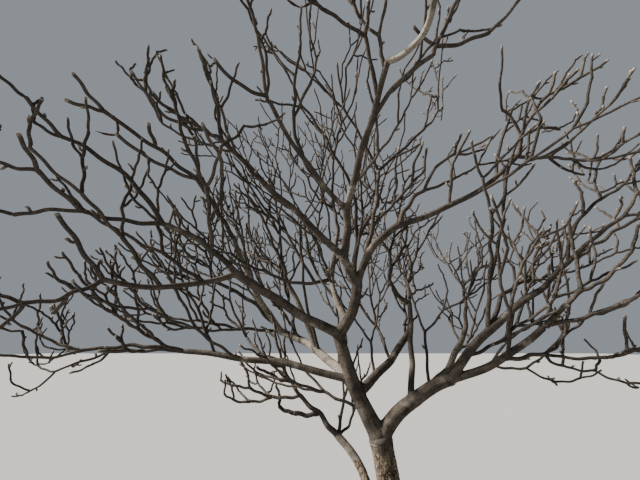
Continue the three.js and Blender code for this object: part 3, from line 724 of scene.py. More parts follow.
    def add_spurs(self, spray):
        """Short blunt spurs along the twigs, where shoots have stayed small."""
        margin = SPURS.margin
        for parent in list(spray.twigs):
            draw = spray.draws(parent.serial * TWIG_KEY + PART_KEYS.spurs)
            length = np.linalg.norm(parent.path[-1] - parent.path[0])
            places = int(length / SPURS.apart + draw())
            for place in range(places):
                share = (place + margin + (1 - 2 * margin) * draw()) / places
                self.fine_shoot(parent, SPUR_LEVEL, share, SPURS.lean, TURN * draw())

    def fork_shoot(self, parent, level, index, count):
        """One more shoot at a twig's end, on the first side where it has room."""
        for attempt in range(TRIES):
            turn = parent.turn + TURN * (index + attempt / TRIES) / count
            first = index == 0 and attempt == 0
            lean = FINE_HABIT.first if first else FINE_HABIT.other
            twig = self.fine_shoot(parent, level, 1, lean, turn)
            if twig:
                return [twig]
        return []


def closes_opening(path):
    """Whether a path crosses one of the openings."""
    away = path - VIEWPOINT
    away = away / np.linalg.norm(away, axis=1)[:, None]
    for heading, rise, half in OPENINGS:
        if (away @ towards(heading, rise) > math.cos(math.radians(half))).any():
            return True
    return False


def inside_box(path):
    """Whether a path stays within the solids' box."""
    low, high = (np.array(corner) * 1000 for corner in CAD_BOX)
    return ((path > low + BOX_MARGIN) & (path < high - BOX_MARGIN)).all()


def fullness_at(point, how):
    """How full the twigs are at a point: sparse close to the viewing point, full far off."""
    away = np.linalg.norm(point - VIEWPOINT)
    return min(max((away - how.near) / (how.far - how.near), how.least), 1)


# Bark: on a stem the corky bark ends at its top, under a few folds on the lit side, whose ridges
# are also painted pale as a painted highlight. Pale is how far a limb's smooth bark is bleached,
# and on a stem it also carries that painted highlight.
Bark = namedtuple("Bark", "rough_top folds pale", defaults=(None, 0, 0))
PLAIN_BARK = Bark()
BARKS = {
    "trunk": Bark(1062, 0.0045),
    "second_stem": Bark(835, 0, 0.75),
    "back_left": Bark(pale=0.6),
    "overhead": Bark(pale=0.75),
    "back_left_arm": Bark(pale=0.35),
    "middle_left": Bark(pale=0.35),
    "right_back": Bark(pale=0.3),
    "back_middle": Bark(pale=0.3),
}
FOLDS = Group(lift=30, spread=22, apart=21)

# Rounded ends: the rings of the dome, as lifts and widths in radii, and the dome's top
LIMB_END = (((0.22, 0.9), (0.4, 0.62)), 0.5)
TWIG_END = (((0.42, 0.86), (0.66, 0.5)), 0.74)

# A twig's swellings as parts of its radius, and their lengths in girths or millimetres
TWIG_SHAPE = Group(
    foot=0.6, sway=0.5, sway_length=400, sway_skew=1.3, base=0.16, base_length=1.1,
    knuckle=(0.12, 0.14), knuckle_length=0.9, rings=0.035, ring_apart=9,
    scars=(0.03, 0.08), scar_middle=0.35, end=60, tip=14, fresh=160)
MAIN_SIDES, FINE_SIDES, FINE_SPACING = 8, 6, 1.35
MOST_TRIANGLES = 199000

# A pod: its radius along its length, its split and its ridges
POD_SIDES = 12
POD_SHARES = (0, 0.06, 0.33, 0.66, 0.93, 1)
POD_RADII = (4, 4, 9, 7.5, 2.6, 1.2)
POD_SHAPE = Group(
    spacing=5, split=0.28, split_width=0.45, ridges=0.05, lumps=0.08, tip=1.5)

# Ring scars: each pair is a least value and what a draw adds to it
RINGS = Group(first=(25, 60), apart=(22, 120), width=(2.2, 2.6), margin=10)
LEAST_SIDES = 12
FILLET_REACH = 0.9

# Relief of the bark: shares of its parts, and radii or shares of the way between which the
# bark grows old or bleached
CORK = Group(flakes=0.75, lumps=0.6, crevice=1.1, stretch=(1, 1, 0.7), warp=14)
SMOOTH = Group(lumps=0.45, scars=0.4, thick=40)
ROUGH_EDGE = 7
YOUNG_TO_OLD = (18, 60)
BLEACH = Group(fades=0.8, start=0.55)

# How far apart the grains of limbs, twigs and pods lie, so that no two look alike
GRAIN_SHIFT = Group(limb=3000, twig=5000, pod=1000)


def lattice(corner, seed):
    """A repeatable number from 0 to 1 for each whole-numbered corner of space."""
    x, y, z = (corner[..., i].astype(np.int64).astype(np.uint64) for i in range(3))
    bits = x * np.uint64(73856093) ^ y * np.uint64(19349663) ^ z * np.uint64(83492791)
    bits = (bits ^ np.uint64(seed * 7919 + 11)) * np.uint64(0x9E3779B97F4A7C15)
    bits = (bits ^ (bits >> np.uint64(31))) * np.uint64(0xD6E8FEB86659FD93)
    return ((bits >> np.uint64(33)) & np.uint64(0xFFFFFF)).astype(float) / 0xFFFFFF


def noise(points, size, seed):
    """Smooth bumps of about the given size in millimetres, from -1 to 1."""
    scaled = points / size
    corner = np.floor(scaled)
    share = scaled - corner
    share = share * share * (3 - 2 * share)
    total = 0
    for step in itertools.product((0, 1), repeat=3):
        weight = np.prod(np.where(step, share, 1 - share), axis=-1)
        total = total + weight * lattice(corner + step, seed)
    return 2 * total - 1


def noises(points, seed, *layers):
    """Noises laid over one another: the share, the size and the own seed of each."""
    return sum(share * noise(points, size, seed + own) for share, size, own in layers)


def cracks(points, size, seed):
    """Distance to the nearest border between irregular plates, from 0 at a border to about 1."""
    scaled = points / size
    corner = np.floor(scaled)
    best = np.full(points.shape[:-1], 9.0)
    second = best.copy()
    for step in itertools.product((-1, 0, 1), repeat=3):
        cell = corner + step
        middle = cell + 0.5 + 0.8 * np.stack(
            [lattice(cell, seed + 1 + i) - 0.5 for i in range(3)], axis=-1)
        away = np.linalg.norm(scaled - middle, axis=-1)
        second = np.minimum(second, np.maximum(best, away))
        best = np.minimum(best, away)
    return second - best


def eased(value, low, high):
    share = np.clip((value - low) / (high - low), 0, 1)
    return share * share * (3 - 2 * share)


def smooth_path(path, spacing):
    """Evenly spaced points on a smooth curve through the given ones."""
    ends = np.vstack((2 * path[0] - path[1], path, 2 * path[-1] - path[-2]))
    rows = [path[:1]]
    for i in range(len(path) - 1):
        a, b, c, d = ends[i:i + 4]
        count = max(1, round(np.linalg.norm(c - b) / spacing))
        t = (np.arange(1, count + 1) / count)[:, None]
        rows.append(0.5 * (
            2 * b + (c - a) * t + (2 * a - 5 * b + 4 * c - d) * t * t
            + (3 * b - a - 3 * c + d) * t ** 3))
    return np.vstack(rows)


def run_along(path):
    return np.concatenate(([0], np.cumsum(np.linalg.norm(path[1:] - path[:-1], axis=1))))


def rounded(path, radius, end):
    """A path and its radii with a rounded end added, and the point that closes it."""
    rings, top = end
    along = unit(path[-1] - path[-2]) * radius[-1]
    path = np.vstack([path] + [path[-1] + along * lift for lift, width in rings])
    ends = [radius[-1] * width for lift, width in rings]
    return path, np.append(radius, ends), path[-len(rings) - 1] + along * top


def frames_along(path, flat_foot=False):
    """Two directions at right angles to a path and to each other, at each of its points."""
    along = np.gradient(path, axis=0)
    along /= np.linalg.norm(along, axis=1)[:, None]
    if flat_foot:
        along[0] = UP
    side = np.array((0.0, 1.0, 0.0) if abs(along[0][0]) > 0.8 else (1.0, 0.0, 0.0))
    sides = np.empty_like(path)
    for i, direction in enumerate(along):
        side = unit(side - direction * (side @ direction))
        sides[i] = side
    return sides, np.cross(sides, along)


def turns_round(sides):
    return TURN * np.arange(sides) / sides


def spread_round(side, second, turn):
    """The outward direction at each turn round each point of a path."""
    return side[:, None] * np.sin(turn)[:, None] + second[:, None] * np.cos(turn)[:, None]


def grain_of(turn, radius, run, shift):
    """Places on a tube as if it were straight, so that a finish can follow its grain."""
    radius = radius[:, None]
    return np.stack(np.broadcast_arrays(
        radius * np.cos(turn), radius * np.sin(turn), run[:, None] + shift), axis=-1)


def in_scene(name, data):
    """A new object with the given mesh, lamp or camera, linked to the scene."""
    piece = bpy.data.objects.new(name, data)
    bpy.context.scene.collection.objects.link(piece)
    return piece


class Skin:
    """The points, faces and point values of one piece, gathered tube by tube."""

    def __init__(self, *values):
        self.points = []
        self.quads = []
        self.triangles = []
        self.count = 0
        self.grain = []
        self.values = {name: [] for name in values}

    def add_tube(self, rings, apex, grain, foot=None, **values):
        """A tube from rings of points, closed at its end and, where asked, at the foot."""
        number, sides = rings.shape[:2]
        ends = [apex] if foot is None else [apex, foot]
        self.points += [rings.reshape(-1, 3), np.array(ends)]
        self.grain += [grain.reshape(-1, 3), grain[[-1, 0][:len(ends)]].mean(axis=1)]
        index = self.count + np.arange(number * sides).reshape(number, sides)
        after = np.roll(index, -1, axis=1)
        self.quads.append(np.stack(
            (index[:-1], index[1:], after[1:], after[:-1]), axis=-1).reshape(-1, 4))
        end = np.full(sides, self.count + number * sides)
        self.triangles.append(np.stack((index[-1], end, after[-1]), axis=-1))
        if foot is not None:
            self.triangles.append(np.stack((after[0], end + 1, index[0]), axis=-1))
        for name, rows in self.values.items():
            value = np.broadcast_to(values[name], (number, sides))
            rows += [value.ravel(), np.full(len(ends), value[-1].mean())]
        self.count += number * sides + len(ends)

    def triangle_count(self):
        return 2 * sum(map(len, self.quads)) + sum(map(len, self.triangles))

    def build(self, name, finish, nodes):
        """The mesh object in metres, riding on the body and standing for its nodes."""
        quads = np.vstack(self.quads)
        triangles = np.vstack(self.triangles)
        corners = np.concatenate((quads.ravel(), triangles.ravel()))
        sizes = np.concatenate((np.full(len(quads), 4), np.full(len(triangles), 3)))
        mesh = bpy.data.meshes.new(name)
        mesh.vertices.add(self.count)
        mesh.vertices.foreach_set("co", (np.vstack(self.points) / 1000).ravel())
        mesh.loops.add(len(corners))
        mesh.loops.foreach_set("vertex_index", corners)
        mesh.polygons.add(len(sizes))
        mesh.polygons.foreach_set("loop_start", np.concatenate(([0], np.cumsum(sizes)[:-1])))
        mesh.polygons.foreach_set("use_smooth", np.ones(len(sizes), bool))
        for value, rows in self.values.items():
            layer = mesh.attributes.new(value, "FLOAT", "POINT")
            layer.data.foreach_set("value", np.concatenate(rows).astype(np.float32))
        layer = mesh.attributes.new("grain", "FLOAT_VECTOR", "POINT")
        layer.data.foreach_set("vector", (np.vstack(self.grain) / 1000).ravel())
        mesh.update()
        if mesh.validate(verbose=False):
            raise RuntimeError(f"{name} has faulty faces")
        mesh.materials.append(finish)
        piece = in_scene(name, mesh)
        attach(piece, "root")
        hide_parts(*nodes)


def flare_at(limb, height):
    return limb.flare * np.exp(-height / FLARE.height)


def fork_fillet(tree, limb, points, radius):
    """How far the bark swells outwards where a limb runs into the ones it forks from."""
    swell = np.zeros(points.shape[:-1])
    for other in LIMBS:
        kin = other.name == limb.on or other.on == limb.name or (other.on and other.on == limb.on)
        if other is limb or not kin:
            continue
        path = tree.limbs[other.name]
        nearest = np.full(points.shape[:-1], 1e9)
        for i in range(PATH_STEPS):
            start, step = path[i], path[i + 1] - path[i]
            share = np.clip(((points - start) @ step) / (step @ step), 0, 1)
            away = np.linalg.norm(points - start - share[..., None] * step, axis=-1)
            nearest = np.minimum(nearest, away - limb_radius(other, (i + share) / PATH_STEPS))
        reach = FILLET_REACH * min(radius.min(), min(other.girth) / 2)
        swell = np.maximum(swell, np.maximum(reach - abs(nearest), 0) ** 2 / (4 * reach))
    return swell


def ring_scars(seed, plain, run, turn):
    """Strength of the broken ring scars that leaf after leaf has left round a limb."""
    draw = draws(RING_KEY + seed)
    scar = np.zeros(plain.shape[:-1])
    least, spread = RINGS.apart
    place = RINGS.first[0] + RINGS.first[1] * draw()
    while place < run[-1, 0] - RINGS.margin:
        width = RINGS.width[0] + RINGS.width[1] * draw()
        wander = place + 5 * np.sin(turn + 6.3 * draw()) + 3 * noise(plain, 30, seed + 9)
        broken = eased(noise(plain, 38, seed + 11), -0.35 - 0.4 * draw(), 0.25)
        scar = np.maximum(scar, np.exp(-((run - wander) / width) ** 2) * broken)
        place += least + spread * draw() ** 2
    return scar


def corky_relief(plain, seed):
    """Height of corky bark from about -1 to 1, and the depth of its crevices."""
    lumps = noises(plain, seed, (0.6, 62, 0), (0.4, 27, 3))
    stretched = plain * CORK.stretch
    warped = stretched + CORK.warp * np.stack(
        [noise(plain, 26, seed + 30 + i) for i in range(3)], axis=-1)
    border = cracks(warped, 34, seed)
    crevice = (1 - eased(border, 0.02, 0.2)) * eased(noise(plain, 60, seed + 40), -0.5, 0.3)
    flakes = noises(stretched, seed, (0.6, 13, 13)) + noises(plain, seed, (0.4, 6, 14))
    height = CORK.flakes * flakes + CORK.lumps * lumps - CORK.crevice * crevice
    return height, lumps, crevice


def add_limb(skin, tree, limb, spacing, relief):
    """One limb with its bark's relief: corky plates low on the stems, and smooth bark with
    ring scars and low lumps above."""
    seed = LIMBS.index(limb) + 1
    bark = BARKS.get(limb.name, PLAIN_BARK)
    path = smooth_path(tree.limbs[limb.name], spacing)
    run = run_along(path)
    radius = limb_radius(limb, run / run[-1])
    path, radius, apex = rounded(path, radius, LIMB_END)
    run = run_along(path)
    side, second = frames_along(path, bool(limb.foot))
    flare = flare_at(limb, path[:, 2]) if limb.foot else np.zeros(len(path))
    radius = radius + flare
    sides = max(LEAST_SIDES, round(TURN * np.median(radius) / spacing))
    turn = turns_round(sides)
    out = spread_round(side, second, turn)
    lobes = 1 + FLARE.depth * (flare / radius)[:, None] * np.sin(FLARE.lobes * turn)
    plain = path[:, None] + out * (radius[:, None] * lobes)[..., None]

    # The crevices are sunk into the mesh, and the stem finish also paints them dark as painted
    # shade
    corky, lumps, crevice = corky_relief(plain, seed)
    scar = ring_scars(seed, plain, run[:, None], turn)
    rough = np.zeros(plain.shape[:-1])
    fold = rough
    if bark.rough_top:
        ragged = plain[..., 2] + noises(plain, seed, *((size,) * 3 for size in (90, 32, 11)))
        rough = 1 - eased(ragged, bark.rough_top - ROUGH_EDGE, bark.rough_top + ROUGH_EDGE)
        above = (plain[..., 2] - bark.rough_top - FOLDS.lift - 6 * noise(plain, 50, seed + 6))
        # The lit side: the folds are raised here, and their ridges are also painted pale as a
        # painted highlight
        lit = eased(-out[..., 0] + 0.4 * noise(plain, 40, seed + 17), 0.35, 0.8)
        fold = bool(bark.folds) * lit * np.exp(-(above / FOLDS.spread) ** 2)
    ridge = fold * np.maximum(0, np.cos(TURN * plain[..., 2] / FOLDS.apart)) ** 2
    scar = scar * (1 - rough)
    smooth = SMOOTH.lumps * lumps * min(1, radius.mean() / SMOOTH.thick)
    smooth = smooth + SMOOTH.scars * scar
    height = mix(smooth * relief.smooth_depth, corky * relief.rough_depth, rough)
    height = (height + ridge * bark.folds) * 1000 + fork_fillet(tree, limb, plain, radius)
    faded = BLEACH.fades * eased(run / run[-1], BLEACH.start, 1)
    bleached = bark.pale * (1 - faded)[:, None]
    rings = plain + out * height[..., None]
    if limb.foot:
        rings[..., 2] = np.maximum(rings[..., 2], 0)
        rings[0, :, 2] = 0
    # pale holds the bleached bark and, on the stems, a painted highlight on the fold ridges of the
    # lit side
    skin.add_tube(
        rings, apex, grain_of(turn, radius, run, GRAIN_SHIFT.limb * seed),
        path[0] if limb.foot else None,
        relief=mix(lumps, corky, rough), rough=rough, scar=scar, crevice=crevice * rough,
        young=1 - eased(radius, *YOUNG_TO_OLD)[:, None], pale=np.maximum(ridge, bleached))


def add_twig(skin, twig, bears, spacing, sides):
    """One twig: a swollen base, a spiral of leaf scars, and a blunt rounded end."""
    draw = draws(twig.serial * TWIG_KEY + PART_KEYS.mesh)
    path = smooth_path(twig.path, spacing)
    share = run_along(path)
    length = share[-1]
    path, thick, apex = rounded(path, mix(*twig.girth, share / length) / 2, TWIG_END)
    thick[0] *= TWIG_SHAPE.foot
    run = run_along(path)
    share = np.minimum(run / length, 1)
    left = length * (1 - share)
    side, second = frames_along(path)
    waves = TURN * (share * (0.5 + length / TWIG_SHAPE.sway_length) + draw())
    sway = TWIG_SHAPE.sway * thick * np.sin(math.pi * share)
    path = path + side * (sway * np.sin(waves))[:, None]
    path += second * (sway * np.cos(waves * TWIG_SHAPE.sway_skew))[:, None]
    base = TWIG_SHAPE.base * np.exp(-run / (TWIG_SHAPE.base_length * twig.girth[0]))
    knuckle = TWIG_SHAPE.knuckle[bears] * np.exp(
        -(left / (TWIG_SHAPE.knuckle_length * twig.girth[1])) ** 2)
    at_end = np.exp(-left / TWIG_SHAPE.end)
    ringed = TWIG_SHAPE.rings * np.sin(run / TWIG_SHAPE.ring_apart + 6 * draw()) * at_end
    turn = turns_round(sides)
    knobs = np.maximum(0, np.cos(turn - SIDE_TURN * np.arange(len(path))[:, None])) ** 2
    scars, end_scars = TWIG_SHAPE.scars
    open_end = at_end[:, None] * (not bears)
    scarred = 1 + (scars + end_scars * open_end) * (knobs - TWIG_SHAPE.scar_middle)
    swell = (1 + base + knuckle + ringed)[:, None] * scarred
    rings = path[:, None] + spread_round(side, second, turn) * (thick[:, None] * swell)[..., None]
    own = draw()
    skin.add_tube(
        rings, apex, grain_of(turn, thick, run, GRAIN_SHIFT.twig * own), own=own, marks=knobs,
        tip=np.exp(-left / TWIG_SHAPE.tip)[:, None] * (not bears),
        fresh=np.exp(-left / TWIG_SHAPE.fresh)[:, None] * (not bears))


def add_pod(skin, path, number):
    """A long dry seed pod, fattest in its middle, split along one side, with a bent tip."""
    draw = draws(POD_KEY + number)
    path = smooth_path(path, POD_SHAPE.spacing)
    run = run_along(path)
    share = run / run[-1]
    radius = np.interp(share, POD_SHARES, POD_RADII)
    side, second = frames_along(path)
    turn = turns_round(POD_SIDES)
    groove = np.exp(-((turn - math.pi) / POD_SHAPE.split_width) ** 2)
    ridged = 1 - POD_SHAPE.split * groove + POD_SHAPE.ridges * np.sin(6 * turn)
    lumps = 1 + POD_SHAPE.lumps * np.sin(run / 11 + 6 * draw())[:, None]
    rings = path[:, None] + spread_round(side, second, turn) * (
        radius[:, None] * ridged * lumps)[..., None]
    apex = path[-1] + unit(path[-1] - path[-2]) * POD_SHAPE.tip
    skin.add_tube(
        rings, apex, grain_of(turn, radius, run, GRAIN_SHIFT.pod * number),
        groove=groove[None, :], end=share[:, None])


class Value:
    """A shader value that takes part in Python expressions."""

    def __init__(self, finish, socket):
        self.finish = finish
        self.socket = socket

    def __add__(self, other):
        return self.finish.math("ADD", self, other)

    def __sub__(self, other):
        return self.finish.math("SUBTRACT", self, other)

    def __rsub__(self, other):
        return self.finish.math("SUBTRACT", other, self)

    def __mul__(self, other):
        return self.finish.math("MULTIPLY", self, other)

    __radd__ = __add__
    __rmul__ = __mul__

    def eased(self, low, high):
        """From 0 below the low value to 1 above the high one."""
        return self.finish.node(
            "ShaderNodeMapRange", {"interpolation_type": "SMOOTHSTEP"},
            {"Value": self, "From Min": low, "From Max": high}, "Result")


# Depth of the finest relief in metres
DEPTHS = Group(stem=0.0016, bough=0.0014, twig=0.001, pod=0.0008, floor=0.0004)


class Finish:
    """A material whose nodes are written as expressions."""

    def __init__(self, name, colours):
        self.colours = colours
        self.material = bpy.data.materials.new(name)
        self.material.use_nodes = True
        self.tree = self.material.node_tree
        self.shader = self.tree.nodes["Principled BSDF"]
        self.place = self.node("ShaderNodeTexCoord", output="Object")

    def node(self, kind, settings=(), inputs=(), output=0):
        """Adds a node: its settings first, then the values or links of its sockets."""
        node = self.tree.nodes.new(kind)
        for name, setting in dict(settings).items():
            setattr(node, name, setting)
        self.fill(node, inputs)
        return Value(self, node.outputs[output])

    def fill(self, node, inputs):
        for name, value in dict(inputs).items():
            if isinstance(value, Value):
                self.tree.links.new(value.socket, node.inputs[name])
            else:
                node.inputs[name].default_value = value

    def math(self, operation, first, second):
        return self.node("ShaderNodeMath", {"operation": operation}, {0: first, 1: second})

    def grain(self, across, lengthways):
        """Places that follow the grain of a limb or twig, scaled across it and along it."""
        straight = self.node(
            "ShaderNodeAttribute", {"attribute_name": "grain"}, output="Vector")
        return self.node(
            "ShaderNodeVectorMath", {"operation": "MULTIPLY"},
            {0: straight, 1: (across, across, lengthways)})

    def noise(self, scale, detail=4, roughness=0.55, place=None):
        return self.node("ShaderNodeTexNoise", inputs={
            "Vector": place or self.place, "Scale": scale, "Detail": detail,
            "Roughness": roughness}, output="Fac")

    def border(self, scale, place):
        """Distance to the nearest border between cells."""
        return self.node(
            "ShaderNodeTexVoronoi", {"feature": "DISTANCE_TO_EDGE"},
            {"Vector": place, "Scale": scale}, "Distance")

    def stored(self, name):
        return self.node("ShaderNodeAttribute", {"attribute_name": name}, output="Fac")

    def blend(self, share, first, second, way="MIX"):
        return self.node(
            "ShaderNodeMix", {"data_type": "RGBA", "blend_type": way},
            {0: share, 6: first, 7: second}, 2)

    def shade(self, colour, amount):
        """One of the colours made lighter or darker, for a colour socket."""
        return (*(min(part * amount, 1) for part in getattr(self.colours, colour)), 1)

    def layered(self, colour, amount, *layers):
        """A colour with others laid over it, each by its mask and made lighter or darker."""
        ground = self.shade(colour, amount)
        for mask, colour, amount in layers:
            ground = self.blend(mask, ground, self.shade(colour, amount))
        return ground

    def surface(self, colour, roughness, height, depth):
        """Ends the material with its colour, its roughness and a bump in metres."""
        normal = self.node(
            "ShaderNodeBump", inputs={"Height": height, "Distance": depth, "Strength": 1.0},
            output="Normal")
        self.fill(self.shader, {
            "Base Color": colour, "Roughness": roughness, "Normal": normal,
            "Specular IOR Level": 0})
        return self.material


def smooth_bark(finish):
    """The colour, roughness and height of smooth bark: a tight grey-brown skin, finely
    streaked along the limb and wrinkled across it, with pale worn patches, dark ring scars
    and small raised pores."""
    mottle = finish.noise(7, 5, 0.6)
    cloud = finish.noise(2.3, 2)
    grain = finish.noise(160, 5, 0.6)
    streaks = finish.noise(95, 4, 0.6, finish.grain(1, 0.1))
    wrinkles = finish.noise(60, 3, 0.6, finish.grain(0.3, 1.8))
    pores = 1 - finish.border(60, finish.grain(0.7, 1.6)).eased(0.03, 0.16)
    patch = (cloud * 0.6 + mottle * 0.5 + grain * 0.12).eased(0.68, 0.735)
    # The pale mask holds the bleached bark and a painted highlight on the fold ridges of a stem's
    # lit side
    bleached = finish.stored("pale") * (streaks * 0.5 + mottle * 0.8).eased(0.25, 0.75)
    colour = finish.layered(
        "bark_shade", 1,
        ((mottle * 0.75 + streaks * 0.45).eased(0.44, 0.78), "bark_light", 1),
        (patch * 0.6, "pale_bark_and_painted_highlight", 1),
        (finish.stored("young") * 0.35, "twig", 1.15),
        (bleached, "pale_bark_and_painted_highlight", 1.25),
        (finish.stored("relief").eased(0.1, 0.75) * 0.2, "pale_bark_and_painted_highlight", 0.8),
        (finish.stored("scar") * mottle.eased(0.3, 0.6) * 0.75, "bark_shade", 0.35),
        # Painted shade: the wrinkles' grooves, which the bump sinks, are darkened
        (wrinkles.eased(0.56, 0.72) * 0.35, "bark_shade", 0.6),
        (pores * 0.2, "bark_shade", 0.5))
    colour = finish.blend(
        grain.eased(0.3, 0.7) * 0.35, colour, finish.shade("bark_light", 1.25), "OVERLAY")
    height = grain * 0.45 + pores * 0.15 + streaks * 0.45 - wrinkles * 0.5
    return colour, 0.66 + mottle * 0.25, height


def rough_bark(finish):
    """The colour, roughness and height of corky bark: pale flaking plates, dark patches
    where they have fallen, and crevices between them, with painted shade in the crevices."""
    flake = finish.noise(55, 8, 0.72, finish.grain(1, 0.75))
    patch = finish.noise(20, 5, 0.62)
    fibre = finish.noise(210, 5, 0.65, finish.grain(1, 0.5))
    edges = 1 - finish.border(42, finish.grain(1, 0.8)).eased(0.0, 0.14)
    relief = finish.stored("relief")
    colour = finish.layered(
        "cork", 0.7,
        (flake.eased(0.38, 0.62), "cork", 1.3),
        ((relief * 0.4 + flake * 0.8).eased(0.4, 0.8) * 0.8, "flake", 1),
        ((patch + flake * 0.3).eased(0.68, 0.76) * 0.8, "crevice", 1.5),
        # Painted shade: the grooves between the plates and the sunk crevices take the dark crevice
        # colour
        (edges * 0.45, "crevice", 1.4),
        (finish.stored("crevice").eased(0.15, 0.75) * 0.9, "crevice", 1))
    return colour, 0.86 + flake * 0.1, flake * 0.9 + fibre * 0.25 - edges * 0.4


def stem_finish(name, colours):
    """Corky bark low on a stem, and smooth bark above its ragged edge."""
    finish = Finish(name, colours)
    rough = finish.stored("rough")
    smooth = smooth_bark(finish)
    corky = rough_bark(finish)
    colour = finish.blend(rough, smooth[0], corky[0])
    roughness = smooth[1] + rough * (corky[1] - smooth[1])
    height = smooth[2] + rough * (corky[2] * 2.2 - smooth[2])
    return finish.surface(colour, roughness, height, DEPTHS.stem)


def bough_finish(name, colours):
    finish = Finish(name, colours)
    return finish.surface(*smooth_bark(finish), DEPTHS.bough)


def twig_finish(name, colours):
    """Twig bark: grey-brown and matt, with leaf scars down the spiral, and a pale blunt end."""
    finish = Finish(name, colours)
    own = finish.stored("own")
    mottle = finish.noise(24, 5, 0.62)
    grain = finish.noise(330, 4, 0.6)
    streaks = finish.noise(170, 4, 0.6, finish.grain(1, 0.12))
    wrinkle = finish.noise(110, 4, 0.6, finish.grain(0.3, 1.5))
    ring = 1 - finish.border(60, finish.grain(0.35, 1.4)).eased(0.02, 0.14)
    pale = finish.stored("tip") * (0.55 + mottle * 0.6)
    colour = finish.layered(
        "twig", 0.62,
        ((mottle * 0.6 + streaks * 0.3 + own * 0.25).eased(0.4, 0.8), "twig", 1.4),
        (finish.stored("fresh") * mottle.eased(0.3, 0.7) * 0.5, "twig", 1.7),
        (finish.stored("marks").eased(0.35, 0.95) * 0.4, "tip", 0.6),
        # Painted shade: the fine rings and wrinkles, which the bump sinks, are darkened
        (ring * 0.45, "twig", 0.35),
        (wrinkle.eased(0.55, 0.72) * 0.4, "twig", 0.45),
        (pale.eased(0.1, 0.8), "tip", 1))
    height = grain * 0.35 + streaks * 0.4 - wrinkle * 0.5 - ring * 0.4
    return finish.surface(
        colour, 0.62 + mottle * 0.3, height + finish.stored("marks") * 0.5, DEPTHS.twig)


def pod_finish(name, colours):
    """A dry pod: dark brown, streaked lengthways, greyer at its ends, with painted shade in its
    split.
    """
    finish = Finish(name, colours)
    streaks = finish.noise(300, 6, 0.7, finish.grain(1, 0.08))
    mottle = finish.noise(30, 4)
    colour = finish.layered(
        "pod", 0.55,
        ((streaks * 0.7 + mottle * 0.4).eased(0.4, 0.7), "pod", 1.8),
        (finish.stored("end").eased(0.8, 1) * 0.5, "twig", 1.2),
        # Painted shade: the split's groove is painted near black
        (finish.stored("groove") * 0.8, "pod", 0.2))
    return finish.surface(colour, 0.55 + mottle * 0.3, streaks + mottle * 0.5, DEPTHS.pod)


def floor_finish(colours):
    """A plain pale floor with a barely visible mottling."""
    finish = Finish("pale_floor", colours)
    cloud = finish.noise(0.7, 3)
    colour = finish.layered("floor", 0.97, (cloud, "floor", 1.03))
    return finish.surface(colour, 0.85 + cloud * 0.1, finish.noise(90, 3), DEPTHS.floor)


def colour_setting(name, description, default):
    return bpy.props.FloatVectorProperty(
        name=name, description=description, default=default, subtype="COLOR", min=0, max=1)


def setting(name, description, default, **more):
    return bpy.props.FloatProperty(name=name, description=description, default=default, **more)


def length_setting(name, description, default, least, most):
    return setting(name, description, default, min=least, max=most, unit="LENGTH")


def angle_setting(name, description, degrees):
    return setting(name, description, math.radians(degrees), subtype="ANGLE")


class FrangipaniColours(bpy.types.PropertyGroup):
    bark_shade: colour_setting(
        "Bark shade", "Darker parts of the smooth bark", (0.030, 0.025, 0.021))
    bark_light: colour_setting(
        "Bark light", "Lighter parts of the smooth bark", (0.116, 0.100, 0.083))
    # Pale worn patches, bleached bark, and the painted highlight on the lit fold ridges of the
    # stems
    pale_bark_and_painted_highlight: colour_setting(
        "Bark pale", "Worn patches on the smooth bark", (0.31, 0.278, 0.232))
    cork: colour_setting("Cork", "Rough bark low on the stems", (0.135, 0.106, 0.077))
    flake: colour_setting("Flake", "Faces of the bark's plates", (0.37, 0.32, 0.245))
    # Dark bark where plates have fallen, and painted shade in the crevices and the grooves between
    # plates
    crevice: colour_setting("Crevice", "Cracks between the plates", (0.030, 0.023, 0.016))
    twig: colour_setting("Twig", "Bark of the twigs", (0.060, 0.051, 0.043))
    tip: colour_setting("Twig end", "Blunt ends of the twigs", (0.21, 0.19, 0.16))
    pod: colour_setting("Pod", "Dry seed pods", (0.050, 0.028, 0.020))
    floor: colour_setting("Floor", "Studio floor", (0.27, 0.27, 0.265))


class FrangipaniSizes(bpy.types.PropertyGroup):
    smooth_depth: length_setting(
        "Smooth relief", "Height of the lumps on smooth bark", 0.003, 0, 0.008)
    rough_depth: length_setting(
        "Rough relief", "Depth of the crevices in corky bark", 0.0045, 0, 0.012)
    stem_mesh: length_setting(
        "Stem mesh", "Spacing of the points on the two stems", 0.0045, 0.003, 0.02)
    bough_mesh: length_setting(
        "Bough mesh", "Spacing of the points on the boughs", 0.008, 0.004, 0.03)
    twig_mesh: length_setting(
        "Twig mesh", "Spacing of the rings on the twigs", 0.015, 0.008, 0.05)


class FrangipaniStudio(bpy.types.PropertyGroup):
    key: setting("Key light", "Strength of the high light", 19.0, min=0)
    fill: setting("Fill", "Strength of the pale surroundings", 0.34, min=0)
    key_heading: angle_setting("Key heading", "Side from which the high light comes", 179)
    key_rise: angle_setting("Key rise", "Height of the high light", 34)
    lens: setting(
        "Lens", "Focal length of the camera", 14.74, min=5, subtype="DISTANCE_CAMERA")
    pitch: angle_setting("Pitch", "How far the camera looks up", 21.8)


@functools.lru_cache(maxsize=1)
def grown_tree():
    return Tree()


class BarkOperator:
    """Shared work of the operators that give limbs their bark. Each says its pieces, its
    slot, its finish and the setting for its mesh."""

    def execute(self, context):
        scene = context.scene
        sizes = scene.frangipani_sizes
        finish = type(self).finish(self.slot, scene.frangipani_colours)
        spacing = getattr(sizes, self.spacing) * 1000
        for name, limbs in self.pieces.items():
            skin = Skin("relief", "rough", "scar", "crevice", "young", "pale")
            for limb in LIMBS:
                if limb.name in limbs:
                    add_limb(skin, grown_tree(), limb, spacing, sizes)
            skin.build(name, finish, limbs)
        return {"FINISHED"}


